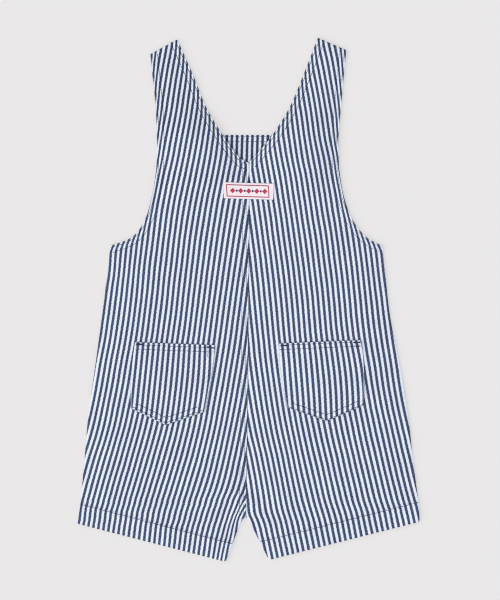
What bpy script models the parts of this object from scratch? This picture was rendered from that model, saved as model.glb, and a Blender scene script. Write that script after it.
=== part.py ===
"""A toddler's short dungarees in striped cotton, laid flat on their front with the back up.

Run it with:  blender --background --python part.py
Units are metres. +Z is up and +Y runs from the hems to the shoulders. The origin is on the surface that
the garment lies on, below the middle of its outline. The tables hold millimetres.
"""

import math
from collections import namedtuple

import bmesh
import bpy
from mathutils import Vector, geometry

MM = 0.001

# ------------------------------------------------------------------ driving dimensions, in metres
CLOTH = 1.1 * MM  # wall of one layer of cloth
TURNED_HEM = 1.7 * MM  # wall where the leg hem is turned in
HEM_STEP = 2.5 * MM  # the wall thins from one to the other over this height
SEAM_GAP = 0.3 * MM  # clearance between two pieces, at seams and between layers
LAYER = CLOTH + SEAM_GAP

SHOULDER_TILT = 2.5 * MM  # the right shoulder's outer corner lies this much higher, the left one's lower
HEM_TILT = 0.9 * MM  # and so do the two hems
WAIST_SEAM_Y = 0.0

STRAP_WIDTH = 27 * MM
STRAP_END = Vector((43.7 * MM, 128.7 * MM))  # middle of the right strap's end, on the bib
STRAP_MARGIN = 5 * MM  # what lies on a strap stays level this far past its edges
STRAP_SLOPE = 24 * MM  # and then comes down over this width

BUTTON_RADIUS = 7.5 * MM
BUTTON_HEIGHT = 2.0 * MM
BUTTON_FROM_END = 16 * MM  # along the strap, from its end to the button's middle
BUTTON_SLOPE = 40 * MM  # the cloth comes down over this width around a button
BUTTON_HOLE_RADIUS = 0.9 * MM
BUTTON_HOLE_SPACING = 1.7 * MM  # from the button's middle, along both axes

LABEL_WIDTH = 47 * MM
LABEL_HEIGHT = 15.2 * MM
LABEL_WALL = 1.0 * MM
LABEL_CENTRE = Vector((0.2 * MM, 103.7 * MM))
LABEL_TILT = math.radians(-1.7)

AIR = 1.5 * MM  # most air between the back and what it lies on
AIR_EDGE = 28 * MM  # the back settles onto the front over this width at an edge
SEAM_DIP = 0.8 * MM  # how much lower the back lies along its centre seam
SEAM_DIP_WIDTH = 14 * MM
POCKET_PUFF = 0.9 * MM  # air behind the middle of a pocket

PANEL_COLUMNS = 14
PANEL_CROWDING = 1.3  # above 1, a panel's columns are closer together towards the middle of the garment
BIB_COLUMNS = 24
STRAP_ROWS, STRAP_COLUMNS = 16, 4
POCKET_ROWS, POCKET_COLUMNS = 8, 8
LABEL_ROWS, LABEL_COLUMNS = 3, 12

# ------------------------------------------------------------------ tables, in millimetres
# A section runs across half of the back: from the side seam or the armhole, its outer end, to the
# centre seam, the neck edge or the inner leg, its inner end. It is given for the right half, and a
# shift moves the ends of both halves to the right. rows counts the rows of cloth up to the next
# section. corner names an end that turns sharply.
Section = namedtuple("Section", "outer_x outer_y inner_x inner_y outer_shift inner_shift rows corner")
SECTIONS = (
    Section(162.4, -211.0, 21.6, -247.2, 0.0, -0.2, 2, ""),  # hem edge
    Section(160.3, -194.0, 14.4, -230.2, 1.2, -1.9, 1, ""),  # hem stitching
    Section(160.0, -191.2, 13.0, -227.4, 1.2, -2.0, 3, ""),
    Section(156.0, -151.5, 0.0, -205.4, 1.0, -2.8, 3, "inner"),  # crotch
    Section(152.2, -105.9, 0.0, -146.8, 0.5, -2.3, 2, ""),
    Section(144.6, -60.3, 0.0, -94.5, -1.0, -1.7, 2, ""),
    Section(137.3, -14.7, 0.0, -37.5, -2.2, -1.1, 2, ""),
    Section(132.0, 30.9, 0.0, 19.5, -1.9, -0.4, 1, ""),
    Section(129.9, 51.7, 0.0, 48.0, -2.5, 0.0, 2, "outer"),  # underarm
    Section(110.7, 61.3, 0.0, 68.9, 0.6, 0.0, 2, ""),
    Section(98.8, 77.0, 0.0, 90.7, 0.0, 0.0, 2, ""),
    Section(91.2, 99.3, 0.0, 110.7, -0.5, 0.0, 2, ""),
    Section(87.4, 122.1, 0.0, 130.2, -0.4, 0.0, 3, "inner"),  # point of the neck
    Section(86.0, 152.5, 21.5, 155.3, -0.8, 0.2, 3, ""),
    Section(88.4, 182.9, 39.0, 182.9, -0.4, -0.4, 2, ""),
    Section(91.4, 213.3, 51.8, 213.3, 0.0, 0.0, 2, ""),
    Section(93.0, 236.3, 67.4, 248.1, -0.4, -0.7, 0, ""),  # shoulder
)
HEM_STITCHING, ABOVE_HEM, CROTCH, BELOW_WAIST, UNDERARM, NECK_POINT = 1, 2, 3, 6, 8, 12  # table rows

# The bib narrows above the underarms to its straight top edge. rows counts the rows of cloth below.
BibSection = namedtuple("BibSection", "y half_width rows")
BIB_SECTIONS = (
    BibSection(58.0, 104.0, 2),
    BibSection(70.0, 88.0, 2),
    BibSection(90.0, 75.0, 2),
    BibSection(115.0, 66.0, 3),
    BibSection(140.0, 60.0, 3),
    BibSection(157.0, 57.0, 2),  # top edge
)
BIB_TOP_Y = BIB_SECTIONS[-1].y * MM

# A fold is a soft ridge in the back that runs from its start to its end. sign is -1 on the left half.
Fold = namedtuple("Fold", "sign start_x start_y end_x end_y width height")
FOLDS = (
    Fold(-1, -6.0, -184.0, -17.0, -216.0, 9.0, 1.1),
    Fold(-1, -17.0, -176.0, -36.0, -208.0, 11.0, 0.9),
    Fold(-1, -44.0, -156.0, -74.0, -198.0, 16.0, 0.7),
    Fold(1, 2.0, -190.0, 20.0, -214.0, 9.0, 1.0),
    Fold(1, 12.0, -168.0, 46.0, -202.0, 15.0, 0.8),
)

# The corners of the two patch pockets, each an x and a y.
PatchPocket = namedtuple("PatchPocket", "half outer_top inner_top outer_bottom inner_bottom tip")
POCKETS = (
    PatchPocket("left", (-107.6, -39.7), (-31.9, -42.5), (-111.6, -102.1), (-42.1, -105.6), (-78.6, -119.0)),
    PatchPocket("right", (106.9, -37.7), (29.0, -41.5), (109.3, -99.2), (36.6, -101.4), (74.3, -114.7)),
)

# The button's turned outline, from the middle of its back over its rim to the middle of its face.
ButtonPoint = namedtuple("ButtonPoint", "radius_share height_share")
BUTTON_OUTLINE = (
    ButtonPoint(0.00, 1.00),
    ButtonPoint(0.80, 1.00),
    ButtonPoint(0.96, 0.80),
    ButtonPoint(1.00, 0.50),
    ButtonPoint(0.96, 0.15),
    ButtonPoint(0.88, 0.00),
    ButtonPoint(0.72, 0.00),
    ButtonPoint(0.64, 0.30),
    ButtonPoint(0.00, 0.30),
)
BUTTON_SIDES = 20

# ------------------------------------------------------------------ small helpers


def smooth(share):
    """0 at 0 and below, 1 at 1 and above, with no corner in between."""
    share = min(max(share, 0.0), 1.0)
    return share * share * (3 - 2 * share)


def curve_through(points, corners, steps):
    """Points along a smooth curve through points, with steps[i] of them in stretch i, sharp at corners."""
    last = len(points) - 1

    def direction(i):
        return (points[min(i + 1, last)] - points[max(i - 1, 0)]).normalized()

    line = [points[0]]
    for i, (start, end) in enumerate(zip(points, points[1:])):
        chord = end - start
        leave = chord.normalized() if i in corners else direction(i)
        arrive = chord.normalized() if i + 1 in corners else direction(i + 1)
        reach = chord.length / 3
        line += geometry.interpolate_bezier(
            start, start + leave * reach, end - arrive * reach, end, steps[i] + 1
        )[1:]
    return line


def distance(place, line):
    """How far a place is from a line of points."""
    nearest = math.inf
    for start, end in zip(line, line[1:]):
        run = end - start
        share = min(max((place - start).dot(run) / run.length_squared, 0.0), 1.0)
        nearest = min(nearest, (place - start - run * share).length)
    return nearest


def place_at(line, y):
    """The place at height y on a line of points that only rises."""
    for low, high in zip(line, line[1:]):
        if y <= high.y:
            return low.lerp(high, (y - low.y) / (high.y - low.y))
    return line[-1]


def mirrored(place, sign):
    return Vector((place.x * sign, place.y))


# ------------------------------------------------------------------ the two halves of the outline
Half = namedtuple("Half", "sign outer inner free_edges centre_seam")


def first_row(section):
    """The number of the row of cloth that lies on a section of the table."""
    return sum(s.rows for s in SECTIONS[:section])


def make_half(sign):
    outer = [Vector((s.outer_x * sign + s.outer_shift, s.outer_y)) * MM for s in SECTIONS]
    clear = SEAM_GAP / 2 * sign
    inner = [Vector(((s.inner_x * sign + s.inner_shift) * MM + clear, s.inner_y * MM)) for s in SECTIONS]
    outer[-1].y += SHOULDER_TILT * sign
    for end in outer[: ABOVE_HEM + 1] + inner[: ABOVE_HEM + 1]:
        end.y += HEM_TILT * sign
    steps = [s.rows for s in SECTIONS[:-1]]
    outer = curve_through(outer, {i for i, s in enumerate(SECTIONS) if s.corner == "outer"}, steps)
    inner = curve_through(inner, {i for i, s in enumerate(SECTIONS) if s.corner == "inner"}, steps)
    crotch, neck = first_row(CROTCH), first_row(NECK_POINT)
    free_edges = outer, [outer[0], inner[0]], inner[: crotch + 1], inner[neck:]
    return Half(sign, outer, inner, free_edges, inner[crotch : neck + 1])


HALVES = {"left": make_half(-1), "right": make_half(1)}

SHOULDER_MIDDLE = (HALVES["right"].outer[-1] + HALVES["right"].inner[-1]) / 2
STRAP_UP = (SHOULDER_MIDDLE - STRAP_END).normalized()
STRAP_ACROSS = Vector((STRAP_UP.y, -STRAP_UP.x))
BUTTON_CENTRE = STRAP_END + STRAP_UP * BUTTON_FROM_END

# ------------------------------------------------------------------ heights above the surface, and walls


def button_lift(place):
    """How far a layer is lifted by the button below it."""
    away = (mirrored(place, math.copysign(1, place.x)) - BUTTON_CENTRE).length
    slope = (away - BUTTON_RADIUS - SEAM_GAP) / BUTTON_SLOPE
    return (BUTTON_HEIGHT + SEAM_GAP) * (1 - smooth(slope))


def bib_lift(place):
    """How far a strap is lifted by the bib below it."""
    return LAYER * (1 - smooth((place.y - BIB_TOP_Y - STRAP_MARGIN) / STRAP_SLOPE))


def strap_lift(place):
    """How far the back is lifted, above the bib or the bare surface, by the strap on the bib."""
    from_end = mirrored(place, math.copysign(1, place.x)) - STRAP_END
    beyond = max(-from_end.dot(STRAP_UP), 0.0)
    beside = max(abs(from_end.dot(STRAP_ACROSS)) - STRAP_WIDTH / 2, 0.0)
    slope = (math.hypot(beyond, beside) - STRAP_MARGIN) / STRAP_SLOPE
    return bib_lift(place) * (1 - smooth(slope))


def leg_wall(place, half):
    """The wall of a leg: thicker below the hem stitching, where the hem is turned in."""
    row = first_row(HEM_STITCHING)
    start = half.outer[row]
    along = (half.inner[row] - start).normalized()
    above = half.sign * (place - start).cross(along)
    return TURNED_HEM - (TURNED_HEM - CLOTH) * smooth(above / HEM_STEP)


def air_below(place, half):
    """The air between the back and what it lies on: none at the edges, less along the centre seam."""
    settled = min(distance(place, edge) for edge in half.free_edges) / AIR_EDGE
    from_seam = distance(place, half.centre_seam) / SEAM_DIP_WIDTH
    return (AIR - SEAM_DIP * math.exp(-(from_seam**2))) * smooth(settled)


def fold_ridges(place, half):
    """How far the folds raise the back. A ridge is highest halfway along."""
    height = 0.0
    for fold in FOLDS:
        if fold.sign != half.sign:
            continue
        start = Vector((fold.start_x, fold.start_y)) * MM
        end = Vector((fold.end_x, fold.end_y)) * MM
        away = distance(place, [start, end]) / (fold.width * MM)
        height += fold.height * MM * math.exp(-4 * away**2)
    return height


def back_underside(place, half):
    """The back lies on the front, the bib and the strap, as thick as they are and a seam's gap above."""
    lifts = button_lift(place) + strap_lift(place) + air_below(place, half) + fold_ridges(place, half)
    return leg_wall(place, half) + SEAM_GAP + lifts


def on_the_back(place, half):
    return back_underside(place, half) + leg_wall(place, half) + SEAM_GAP


# ------------------------------------------------------------------ making cloth


def material(name, colour, roughness):
    made = bpy.data.materials.new(name)
    made.use_nodes = True
    shader = made.node_tree.nodes["Principled BSDF"]
    shader.inputs["Base Color"].default_value = (*colour, 1.0)
    shader.inputs["Roughness"].default_value = roughness
    shader.inputs["Metallic"].default_value = 0.0
    return made


def across(start, end, crowding=1.0):
    """A row from start to end. Crowding brings its columns closer together towards the end."""

    def place(share):
        return start.lerp(end, 1 - (1 - share) ** crowding)

    return place


def bent(start, middle, end):
    """A row from start to end with a corner in its middle."""

    def place(share):
        if share < 0.5:
            return start.lerp(middle, 2 * share)
        return middle.lerp(end, 2 * share - 1)

    return place


def cloth_piece(name, rows, columns, underside, wall, finish):
    """A closed wall of cloth. Each row gives a place for a share across it, from 0 to 1. underside and
    wall give the height of the lower face and the thickness at a place."""
    bm = bmesh.new()
    bmesh.ops.create_grid(bm, x_segments=columns, y_segments=len(rows) - 1, size=0.5)
    for vert in bm.verts:
        row = rows[round((vert.co.y + 0.5) * (len(rows) - 1))]
        place = row(vert.co.x + 0.5)
        vert.co = (*place, underside(place))
    made = bmesh.ops.extrude_face_region(bm, geom=bm.faces[:], use_keep_orig=True)
    for vert in (item for item in made["geom"] if isinstance(item, bmesh.types.BMVert)):
        vert.co.z += wall(vert.co.xy)
    bmesh.ops.recalc_face_normals(bm, faces=bm.faces[:])
    mesh = bpy.data.meshes.new(name)
    bm.to_mesh(mesh)
    bm.free()
    mesh.materials.append(finish)
    piece = bpy.data.objects.new(name, mesh)
    garment.objects.link(piece)


def panel_rows(half, last):
    """The rows of half a panel, from the hem up to a section of the table."""
    ends = zip(half.outer[: first_row(last) + 1], half.inner)
    return [across(outer, inner, PANEL_CROWDING) for outer, inner in ends]


# ------------------------------------------------------------------ the pieces


def back(name, half):
    """Half of the back, cut in one with its leg and its strap."""
    rows = panel_rows(half, len(SECTIONS) - 1)
    cloth_piece(
        f"back_{name}",
        rows,
        PANEL_COLUMNS,
        lambda place: back_underside(place, half),
        lambda place: leg_wall(place, half),
        striped_cotton,
    )


def front(name, half):
    """A front leg, flat on the surface, from the hem to the waist seam."""
    rows = panel_rows(half, BELOW_WAIST)
    waist = WAIST_SEAM_Y - SEAM_GAP / 2
    rows.append(across(place_at(half.outer, waist), place_at(half.inner, waist), PANEL_CROWDING))
    cloth_piece(
        f"front_{name}",
        rows,
        PANEL_COLUMNS,
        lambda place: 0.0,
        lambda place: leg_wall(place, half),
        striped_cotton,
    )


def bib():
    """The front above the waist seam, in one piece, with the buttons below it."""
    edges = []
    for half in HALVES.values():
        waist = place_at(half.outer, WAIST_SEAM_Y + SEAM_GAP / 2)
        underarm = half.outer[first_row(UNDERARM)]
        above = [Vector((s.half_width * half.sign, s.y)) * MM for s in BIB_SECTIONS]
        steps = [2] + [s.rows for s in BIB_SECTIONS]
        edges.append(curve_through([waist, underarm] + above, {1}, steps))
    rows = [across(left, right) for left, right in zip(*edges)]
    cloth_piece("bib", rows, BIB_COLUMNS, button_lift, lambda place: CLOTH, striped_cotton)


def strap(name, half):
    """The front end of a strap, from the shoulder down to where it buttons onto the bib."""
    end = mirrored(STRAP_END, half.sign)
    to_side = mirrored(STRAP_ACROSS, half.sign) * STRAP_WIDTH / 2
    rows = []
    for i in range(STRAP_ROWS + 1):
        share = i / STRAP_ROWS
        outer = (end + to_side).lerp(half.outer[-1], share)
        inner = (end - to_side).lerp(half.inner[-1], share)
        rows.append(across(outer, inner))
    cloth_piece(
        f"strap_{name}",
        rows,
        STRAP_COLUMNS,
        lambda place: bib_lift(place) + button_lift(place),
        lambda place: CLOTH,
        striped_cotton,
    )


def pocket(cut):
    """A patch pocket on the back, with a pointed bottom edge and air behind its middle."""
    half = HALVES[cut.half]
    outer_top, inner_top, outer_bottom, inner_bottom, tip = (Vector(corner) * MM for corner in cut[1:])
    rows = []
    for i in range(POCKET_ROWS + 1):
        share = i / POCKET_ROWS
        middle = ((outer_top + inner_top) / 2).lerp(tip, share)
        rows.append(bent(outer_top.lerp(outer_bottom, share), middle, inner_top.lerp(inner_bottom, share)))
    centre = (outer_top + inner_top + outer_bottom + inner_bottom) / 4
    half_width = (outer_top - inner_top).length / 2

    def underside(place):
        return on_the_back(place, half) + POCKET_PUFF * (1 - smooth((place - centre).length / half_width))

    cloth_piece(f"pocket_{cut.half}", rows, POCKET_COLUMNS, underside, lambda place: CLOTH, striped_cotton)


def label():
    """A plain woven label across the centre back seam."""
    along = Vector((math.cos(LABEL_TILT), math.sin(LABEL_TILT))) * LABEL_WIDTH / 2
    up = Vector((-math.sin(LABEL_TILT), math.cos(LABEL_TILT))) * LABEL_HEIGHT / 2
    rows = []
    for i in range(LABEL_ROWS + 1):
        middle = LABEL_CENTRE + up * (2 * i / LABEL_ROWS - 1)
        rows.append(across(middle - along, middle + along))

    def underside(place):
        return on_the_back(place, HALVES["right" if place.x > 0 else "left"])

    cloth_piece("label", rows, LABEL_COLUMNS, underside, lambda place: LABEL_WALL, label_tape)


def thread_holes():
    """Four cylinders where the sewing thread goes through a button."""
    bm = bmesh.new()
    for x in (-BUTTON_HOLE_SPACING, BUTTON_HOLE_SPACING):
        for y in (-BUTTON_HOLE_SPACING, BUTTON_HOLE_SPACING):
            hole = bmesh.ops.create_cone(
                bm,
                cap_ends=True,
                segments=8,
                radius1=BUTTON_HOLE_RADIUS,
                radius2=BUTTON_HOLE_RADIUS,
                depth=4 * BUTTON_HEIGHT,
            )
            bmesh.ops.translate(bm, verts=hole["verts"], vec=(x, y, 0.0))
    mesh = bpy.data.meshes.new("thread_holes")
    bm.to_mesh(mesh)
    bm.free()
    return mesh


def button(name, half):
    """A four-hole button on a strap's end, face down, out through the bib's buttonhole."""
    mesh = bpy.data.meshes.new(f"button_{name}")
    bm = bmesh.new()
    outline = [
        bm.verts.new((point.radius_share * BUTTON_RADIUS, 0.0, point.height_share * BUTTON_HEIGHT))
        for point in BUTTON_OUTLINE
    ]
    for start, end in zip(outline, outline[1:]):
        bm.edges.new((start, end))
    bm.to_mesh(mesh)
    bm.free()
    mesh.materials.append(button_resin)
    piece = bpy.data.objects.new(f"button_{name}", mesh)
    piece.location = (*mirrored(BUTTON_CENTRE, half.sign), 0.0)
    garment.objects.link(piece)

    turn = piece.modifiers.new("turn", "SCREW")
    turn.steps = turn.render_steps = BUTTON_SIDES
    turn.use_merge_vertices = True
    turn.merge_threshold = 0.01 * MM

    holes = bpy.data.objects.new(f"button_{name}_holes", thread_holes())
    holes.location = piece.location
    holes.hide_render = True
    holes.display_type = "WIRE"
    cutters.objects.link(holes)
    cut = piece.modifiers.new("thread_holes", "BOOLEAN")
    cut.operation = "DIFFERENCE"
    cut.object = holes


# ------------------------------------------------------------------ the garment
for old in list(bpy.data.objects):
    bpy.data.objects.remove(old)

garment = bpy.data.collections.new("dungarees")
cutters = bpy.data.collections.new("cutters")
for group in (garment, cutters):
    bpy.context.scene.collection.children.link(group)

striped_cotton = material("striped_cotton", (0.33, 0.38, 0.52), 0.9)
label_tape = material("label_tape", (0.90, 0.88, 0.88), 0.75)
button_resin = material("button_resin", (0.85, 0.84, 0.80), 0.35)

bib()
label()
for cut in POCKETS:
    pocket(cut)
for name, half in HALVES.items():
    back(name, half)
    front(name, half)
    strap(name, half)
    button(name, half)
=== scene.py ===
# %% [markdown]
# # A toddler's striped dungarees
# The garment is a pair of short dungarees in yarn-dyed cotton twill, laid flat on its front. A packed
# model of plain solids already fixes every size. This lesson dresses each solid with a finer piece of
# cloth that has the same form: rounded edges, pressed stitching, creases, and stripes that follow the
# grain. All lengths are in millimetres until a mesh is finished, and then it is scaled to metres.

import math
from collections import namedtuple

import bmesh
import bpy
import numpy as np
from mathutils import Matrix, Vector, geometry, noise


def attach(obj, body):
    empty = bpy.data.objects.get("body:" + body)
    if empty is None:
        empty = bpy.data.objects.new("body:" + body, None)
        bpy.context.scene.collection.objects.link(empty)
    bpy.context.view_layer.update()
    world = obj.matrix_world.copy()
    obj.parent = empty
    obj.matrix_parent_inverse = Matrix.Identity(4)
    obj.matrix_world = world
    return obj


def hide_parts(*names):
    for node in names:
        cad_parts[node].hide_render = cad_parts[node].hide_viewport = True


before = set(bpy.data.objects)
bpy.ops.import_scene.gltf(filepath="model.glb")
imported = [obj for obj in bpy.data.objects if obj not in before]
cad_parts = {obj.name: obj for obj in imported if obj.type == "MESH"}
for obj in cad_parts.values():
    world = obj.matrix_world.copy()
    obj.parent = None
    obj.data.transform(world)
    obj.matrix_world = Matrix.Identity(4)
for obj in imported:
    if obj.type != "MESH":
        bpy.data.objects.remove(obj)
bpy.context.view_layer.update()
MM = 0.001
print("solids:", sorted(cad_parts))

# %% [markdown]
# ## The cut
# A pattern cutter would start from the outline of half a back panel, from the hem up to the shoulder.
# It could be drawn as one long list of points, but a table of lines across the panel is how a cutter
# measures, and both edges come out of it. The outer end of each line lies on the side seam or the
# armhole, and the inner end lies on the inner leg, the centre seam or the neck edge. Both halves come
# from one table, because a garment is cut in pairs. The small shifts are how it happened to be laid down.

# %% Sizes of the cut
Section = namedtuple("Section", "outer_x outer_y inner_x inner_y outer_shift inner_shift rows corner")
SECTIONS = (
    Section(162.4, -211.0, 20.6, -247.2, 0.0, -1.2, 2, ""),  # hem edge
    Section(160.4, -192.6, 13.0, -230.2, 0.9, -2.3, 1, ""),  # hem stitching
    Section(160.1, -189.8, 11.7, -227.4, 0.9, -2.4, 2, ""),
    Section(156.8, -159.4, 3.4, -209.0, 0.3, -3.1, 1, ""),
    Section(155.9, -151.5, 0.0, -205.4, 0.2, -2.7, 3, "inner"),  # crotch
    Section(151.4, -105.9, 0.0, -146.8, -0.3, -1.8, 2, ""),
    Section(144.3, -60.3, 0.0, -94.5, -0.9, -1.1, 2, ""),
    Section(136.7, -14.7, 0.0, -37.5, -2.4, -0.5, 2, ""),
    Section(131.1, 30.9, 0.0, 19.5, -1.8, 0.1, 1, ""),
    Section(129.3, 51.5, 0.0, 48.0, -2.3, 0.4, 2, "outer"),  # underarm
    Section(110.6, 60.5, 0.0, 68.9, 0.6, 0.5, 2, ""),
    Section(98.3, 77.0, 0.0, 90.7, 0.2, 0.5, 2, ""),
    Section(91.0, 99.3, 0.0, 110.7, -0.7, 0.4, 2, ""),
    Section(87.1, 122.1, 0.0, 130.2, -0.7, 0.3, 1, "inner"),  # point of the neck
    Section(86.4, 132.2, 5.2, 134.3, -0.8, -1.9, 1, ""),
    Section(86.1, 142.4, 11.5, 141.0, -0.7, -1.8, 1, ""),
    Section(86.0, 152.5, 22.6, 155.3, -0.8, -1.0, 3, ""),
    Section(87.9, 182.9, 39.4, 182.9, -0.2, -0.6, 2, ""),
    Section(90.8, 213.3, 52.1, 213.3, -0.4, -0.3, 2, ""),
    Section(93.0, 235.6, 66.7, 248.3, -0.2, -0.9, 0, ""),  # shoulder
)
HEM_STITCHING, ABOVE_HEM, CROTCH, BELOW_WAIST, UNDERARM, NECK_POINT = 1, 2, 4, 7, 9, 13  # table rows
SHOULDER_TILT = (1.9, 0.8)  # a shoulder's outer and inner corner: the right lies higher, the left lower
HEM_TILT = 0.9  # and so do the two hems
HEM_CORNER = 1.8  # radius of the hem's corners
WAIST_SEAM_Y = 0.0

BibSection = namedtuple("BibSection", "y half_width rows")
BIB_SECTIONS = (
    BibSection(58.0, 104.0, 2),
    BibSection(70.0, 88.0, 2),
    BibSection(90.0, 75.0, 2),
    BibSection(115.0, 66.0, 3),
    BibSection(140.0, 60.0, 3),
    BibSection(157.0, 57.0, 2),  # top edge
)
BIB_TOP_Y = BIB_SECTIONS[-1].y

CLOTH = 1.1  # wall of one layer, with its turnings pressed flat
TURNED_HEM = 1.7  # wall where the leg hem is turned in
HEM_STEP = 2.5  # the wall thins from one to the other over this height
SEAM_GAP = 0.3  # clearance between two solids, at seams and between layers
SEWN_GAP = 0.04  # what is left of it between two dressed edges that are sewn together
LAYER = CLOTH + SEAM_GAP
print(f"{len(SECTIONS)} lines across a back panel and {len(BIB_SECTIONS)} across the bib")

# %% [markdown]
# ## Curves through the table
# Cloth edges are smooth, with a sharp turn only where two seams meet. A Bezier curve between each pair
# of table rows gives that, and Blender's own `interpolate_bezier` works out its points. The handles are a
# third of the chord long, which is the usual rule for an even curve.

# %% Smooth steps and bells
def smooth(share):
    """0 at 0 and below, 1 at 1 and above, with no corner in between."""
    share = np.clip(share, 0.0, 1.0)
    return share * share * (3 - 2 * share)


def bell(away, width):
    """1 at 0, and next to nothing at twice the width."""
    return np.exp(-((away / width) ** 2))


def unit(run):
    """A direction, one long."""
    return run / np.linalg.norm(run)


print(f"a quarter of the way, a smooth step is {smooth(0.25):.2f} and a bell {bell(0.25, 1.0):.2f} high")


# %% Curves and distances
def curve_through(points, corners, steps):
    """Points along a smooth curve through points, with steps[i] of them in stretch i, sharp at corners."""
    points = [Vector(point) for point in points]
    last = len(points) - 1

    def direction(i):
        return (points[min(i + 1, last)] - points[max(i - 1, 0)]).normalized()

    line = [points[0]]
    for i, (start, end) in enumerate(zip(points, points[1:])):
        chord = end - start
        leave = chord.normalized() if i in corners else direction(i)
        arrive = chord.normalized() if i + 1 in corners else direction(i + 1)
        reach = chord.length / 3
        line += geometry.interpolate_bezier(
            start, start + leave * reach, end - arrive * reach, end, steps[i] + 1
        )[1:]
    return np.array([point[:2] for point in line])


def distance(places, line):
    """How far each place is from a line of points."""
    nearest = np.full(len(places), np.inf)
    for start, end in zip(line, line[1:]):
        run = end - start
        share = np.clip((places - start) @ run / (run @ run), 0.0, 1.0)
        nearest = np.minimum(nearest, np.linalg.norm(places - start - np.outer(share, run), axis=1))
    return nearest


def beside(places, line, reach):
    """1 on a line of points, and 0 beyond its reach."""
    return 1 - smooth(distance(places, line) / reach)


def place_at(line, y):
    """The place at height y on a line of points that only rises."""
    return np.array((np.interp(y, line[:, 1], line[:, 0]), y))


def offset_line(line, inset, side):
    """The line moved sideways by inset. side is 1 to the right of its direction and -1 to the left."""
    run = np.gradient(line, axis=0)
    run /= np.linalg.norm(run, axis=1)[:, None]
    return line + side * inset * np.column_stack((run[:, 1], -run[:, 0]))


arch = curve_through(((-1, 0), (0, 1), (1, 0)), set(), (4, 4))
print(f"a smooth curve through 3 places has {len(arch)} points")

# %% The two halves of the outline
FINE = 8  # rows of fine mesh for each row of cloth in the table

Half = namedtuple(
    "Half", "name sign outer inner side hem inner_leg centre_seam neck armhole shoulder stitching"
)


def first_row(section, fine=FINE):
    """The number of the mesh row that lies on a section of the table."""
    return fine * sum(s.rows for s in SECTIONS[:section])


def make_half(name, sign):
    outer = [[s.outer_x * sign + s.outer_shift, s.outer_y] for s in SECTIONS]
    clear = SEWN_GAP / 2 * sign
    inner = [[s.inner_x * sign + s.inner_shift + clear, s.inner_y] for s in SECTIONS]
    outer[-1][1] += SHOULDER_TILT[0] * sign
    inner[-1][1] += SHOULDER_TILT[1] * sign
    for end in outer[: ABOVE_HEM + 1] + inner[: ABOVE_HEM + 1]:
        end[1] += HEM_TILT * sign
    steps = [s.rows * FINE for s in SECTIONS[:-1]]
    outer = curve_through(outer, {i for i, s in enumerate(SECTIONS) if s.corner == "outer"}, steps)
    inner = curve_through(inner, {i for i, s in enumerate(SECTIONS) if s.corner == "inner"}, steps)
    crotch, neck, underarm = first_row(CROTCH), first_row(NECK_POINT), first_row(UNDERARM)
    row = first_row(HEM_STITCHING)
    return Half(
        name,
        sign,
        outer,
        inner,
        side=outer[: underarm + 1],
        hem=np.array((outer[0], inner[0])),
        inner_leg=inner[: crotch + 1],
        centre_seam=inner[crotch : neck + 1],
        neck=inner[neck:],
        armhole=outer[underarm:],
        shoulder=np.array((outer[-1], inner[-1])),
        stitching=np.array((outer[row], inner[row])),
    )


LEFT, RIGHT = make_half("left", -1), make_half("right", 1)
HALVES = (LEFT, RIGHT)
length = RIGHT.inner[-1][1] - RIGHT.inner[0][1]
print(f"half outline: {len(RIGHT.outer)} rows, {length:.0f} mm from hem to shoulder")

# %% [markdown]
# ## Heights
# Seen from the side, the garment is a stack: the buttons lie face down on the surface, then come the
# bib, the front end of each strap, and the back. A cloth simulation could drop the layers on each other,
# but this garment is pressed flat, and formulas keep every gap as small as it really is. Each layer is
# lifted by what lies below it and comes down again over a slope, as real cloth does. The functions take
# many places at once as an array, which keeps them fast.

# %% Straps and buttons below the back
STRAP_WIDTH = 27.0
STRAP_END = np.array((43.7, 128.7))  # middle of the right strap's end, on the bib
STRAP_MARGIN = 5.0  # what lies on a strap stays level this far past its edges
STRAP_SLOPE = 24.0  # and then comes down over this width
STRAP_UP = unit((RIGHT.outer[-1] + RIGHT.inner[-1]) / 2 - STRAP_END)
STRAP_ACROSS = np.array((STRAP_UP[1], -STRAP_UP[0]))

BUTTON_RADIUS = 7.5
BUTTON_HEIGHT = 2.0
BUTTON_FROM_END = 16.0  # along the strap, from its end to the button's middle
BUTTON_SLOPE = 40.0  # the cloth comes down over this width around a button
BUTTON_HOLE_SPACING = 1.7  # from the button's middle, along both axes
BUTTON_CENTRE = STRAP_END + STRAP_UP * BUTTON_FROM_END


def on_right(places):
    return np.abs(places) * (1, 0) + places * (0, 1)


def button_lift(places):
    away = np.linalg.norm(on_right(places) - BUTTON_CENTRE, axis=1)
    return (BUTTON_HEIGHT + SEAM_GAP) * (1 - smooth((away - BUTTON_RADIUS - SEAM_GAP) / BUTTON_SLOPE))


def bib_lift(places):
    return LAYER * (1 - smooth((places[:, 1] - BIB_TOP_Y - STRAP_MARGIN) / STRAP_SLOPE))


def strap_lift(places):
    from_end = on_right(places) - STRAP_END
    beyond = np.maximum(-from_end @ STRAP_UP, 0.0)
    aside = np.maximum(np.abs(from_end @ STRAP_ACROSS) - STRAP_WIDTH / 2, 0.0)
    return bib_lift(places) * (1 - smooth((np.hypot(beyond, aside) - STRAP_MARGIN) / STRAP_SLOPE))


def mirror_of(half):
    """What a place or a direction on the right is multiplied by to be on this half."""
    return np.array((half.sign, 1))


print(f"lift: {2 * LAYER:.1f} mm over a strap, and {BUTTON_HEIGHT + SEAM_GAP:.1f} mm more over a button")

# %% Air and folds below the back
AIR = 1.5  # most air between the back and what it lies on
AIR_EDGE = 28.0  # the back settles onto the front over this width at an edge
SEAM_DIP = 0.8  # how much lower the back lies along its centre seam
SEAM_DIP_WIDTH = 14.0

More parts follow.
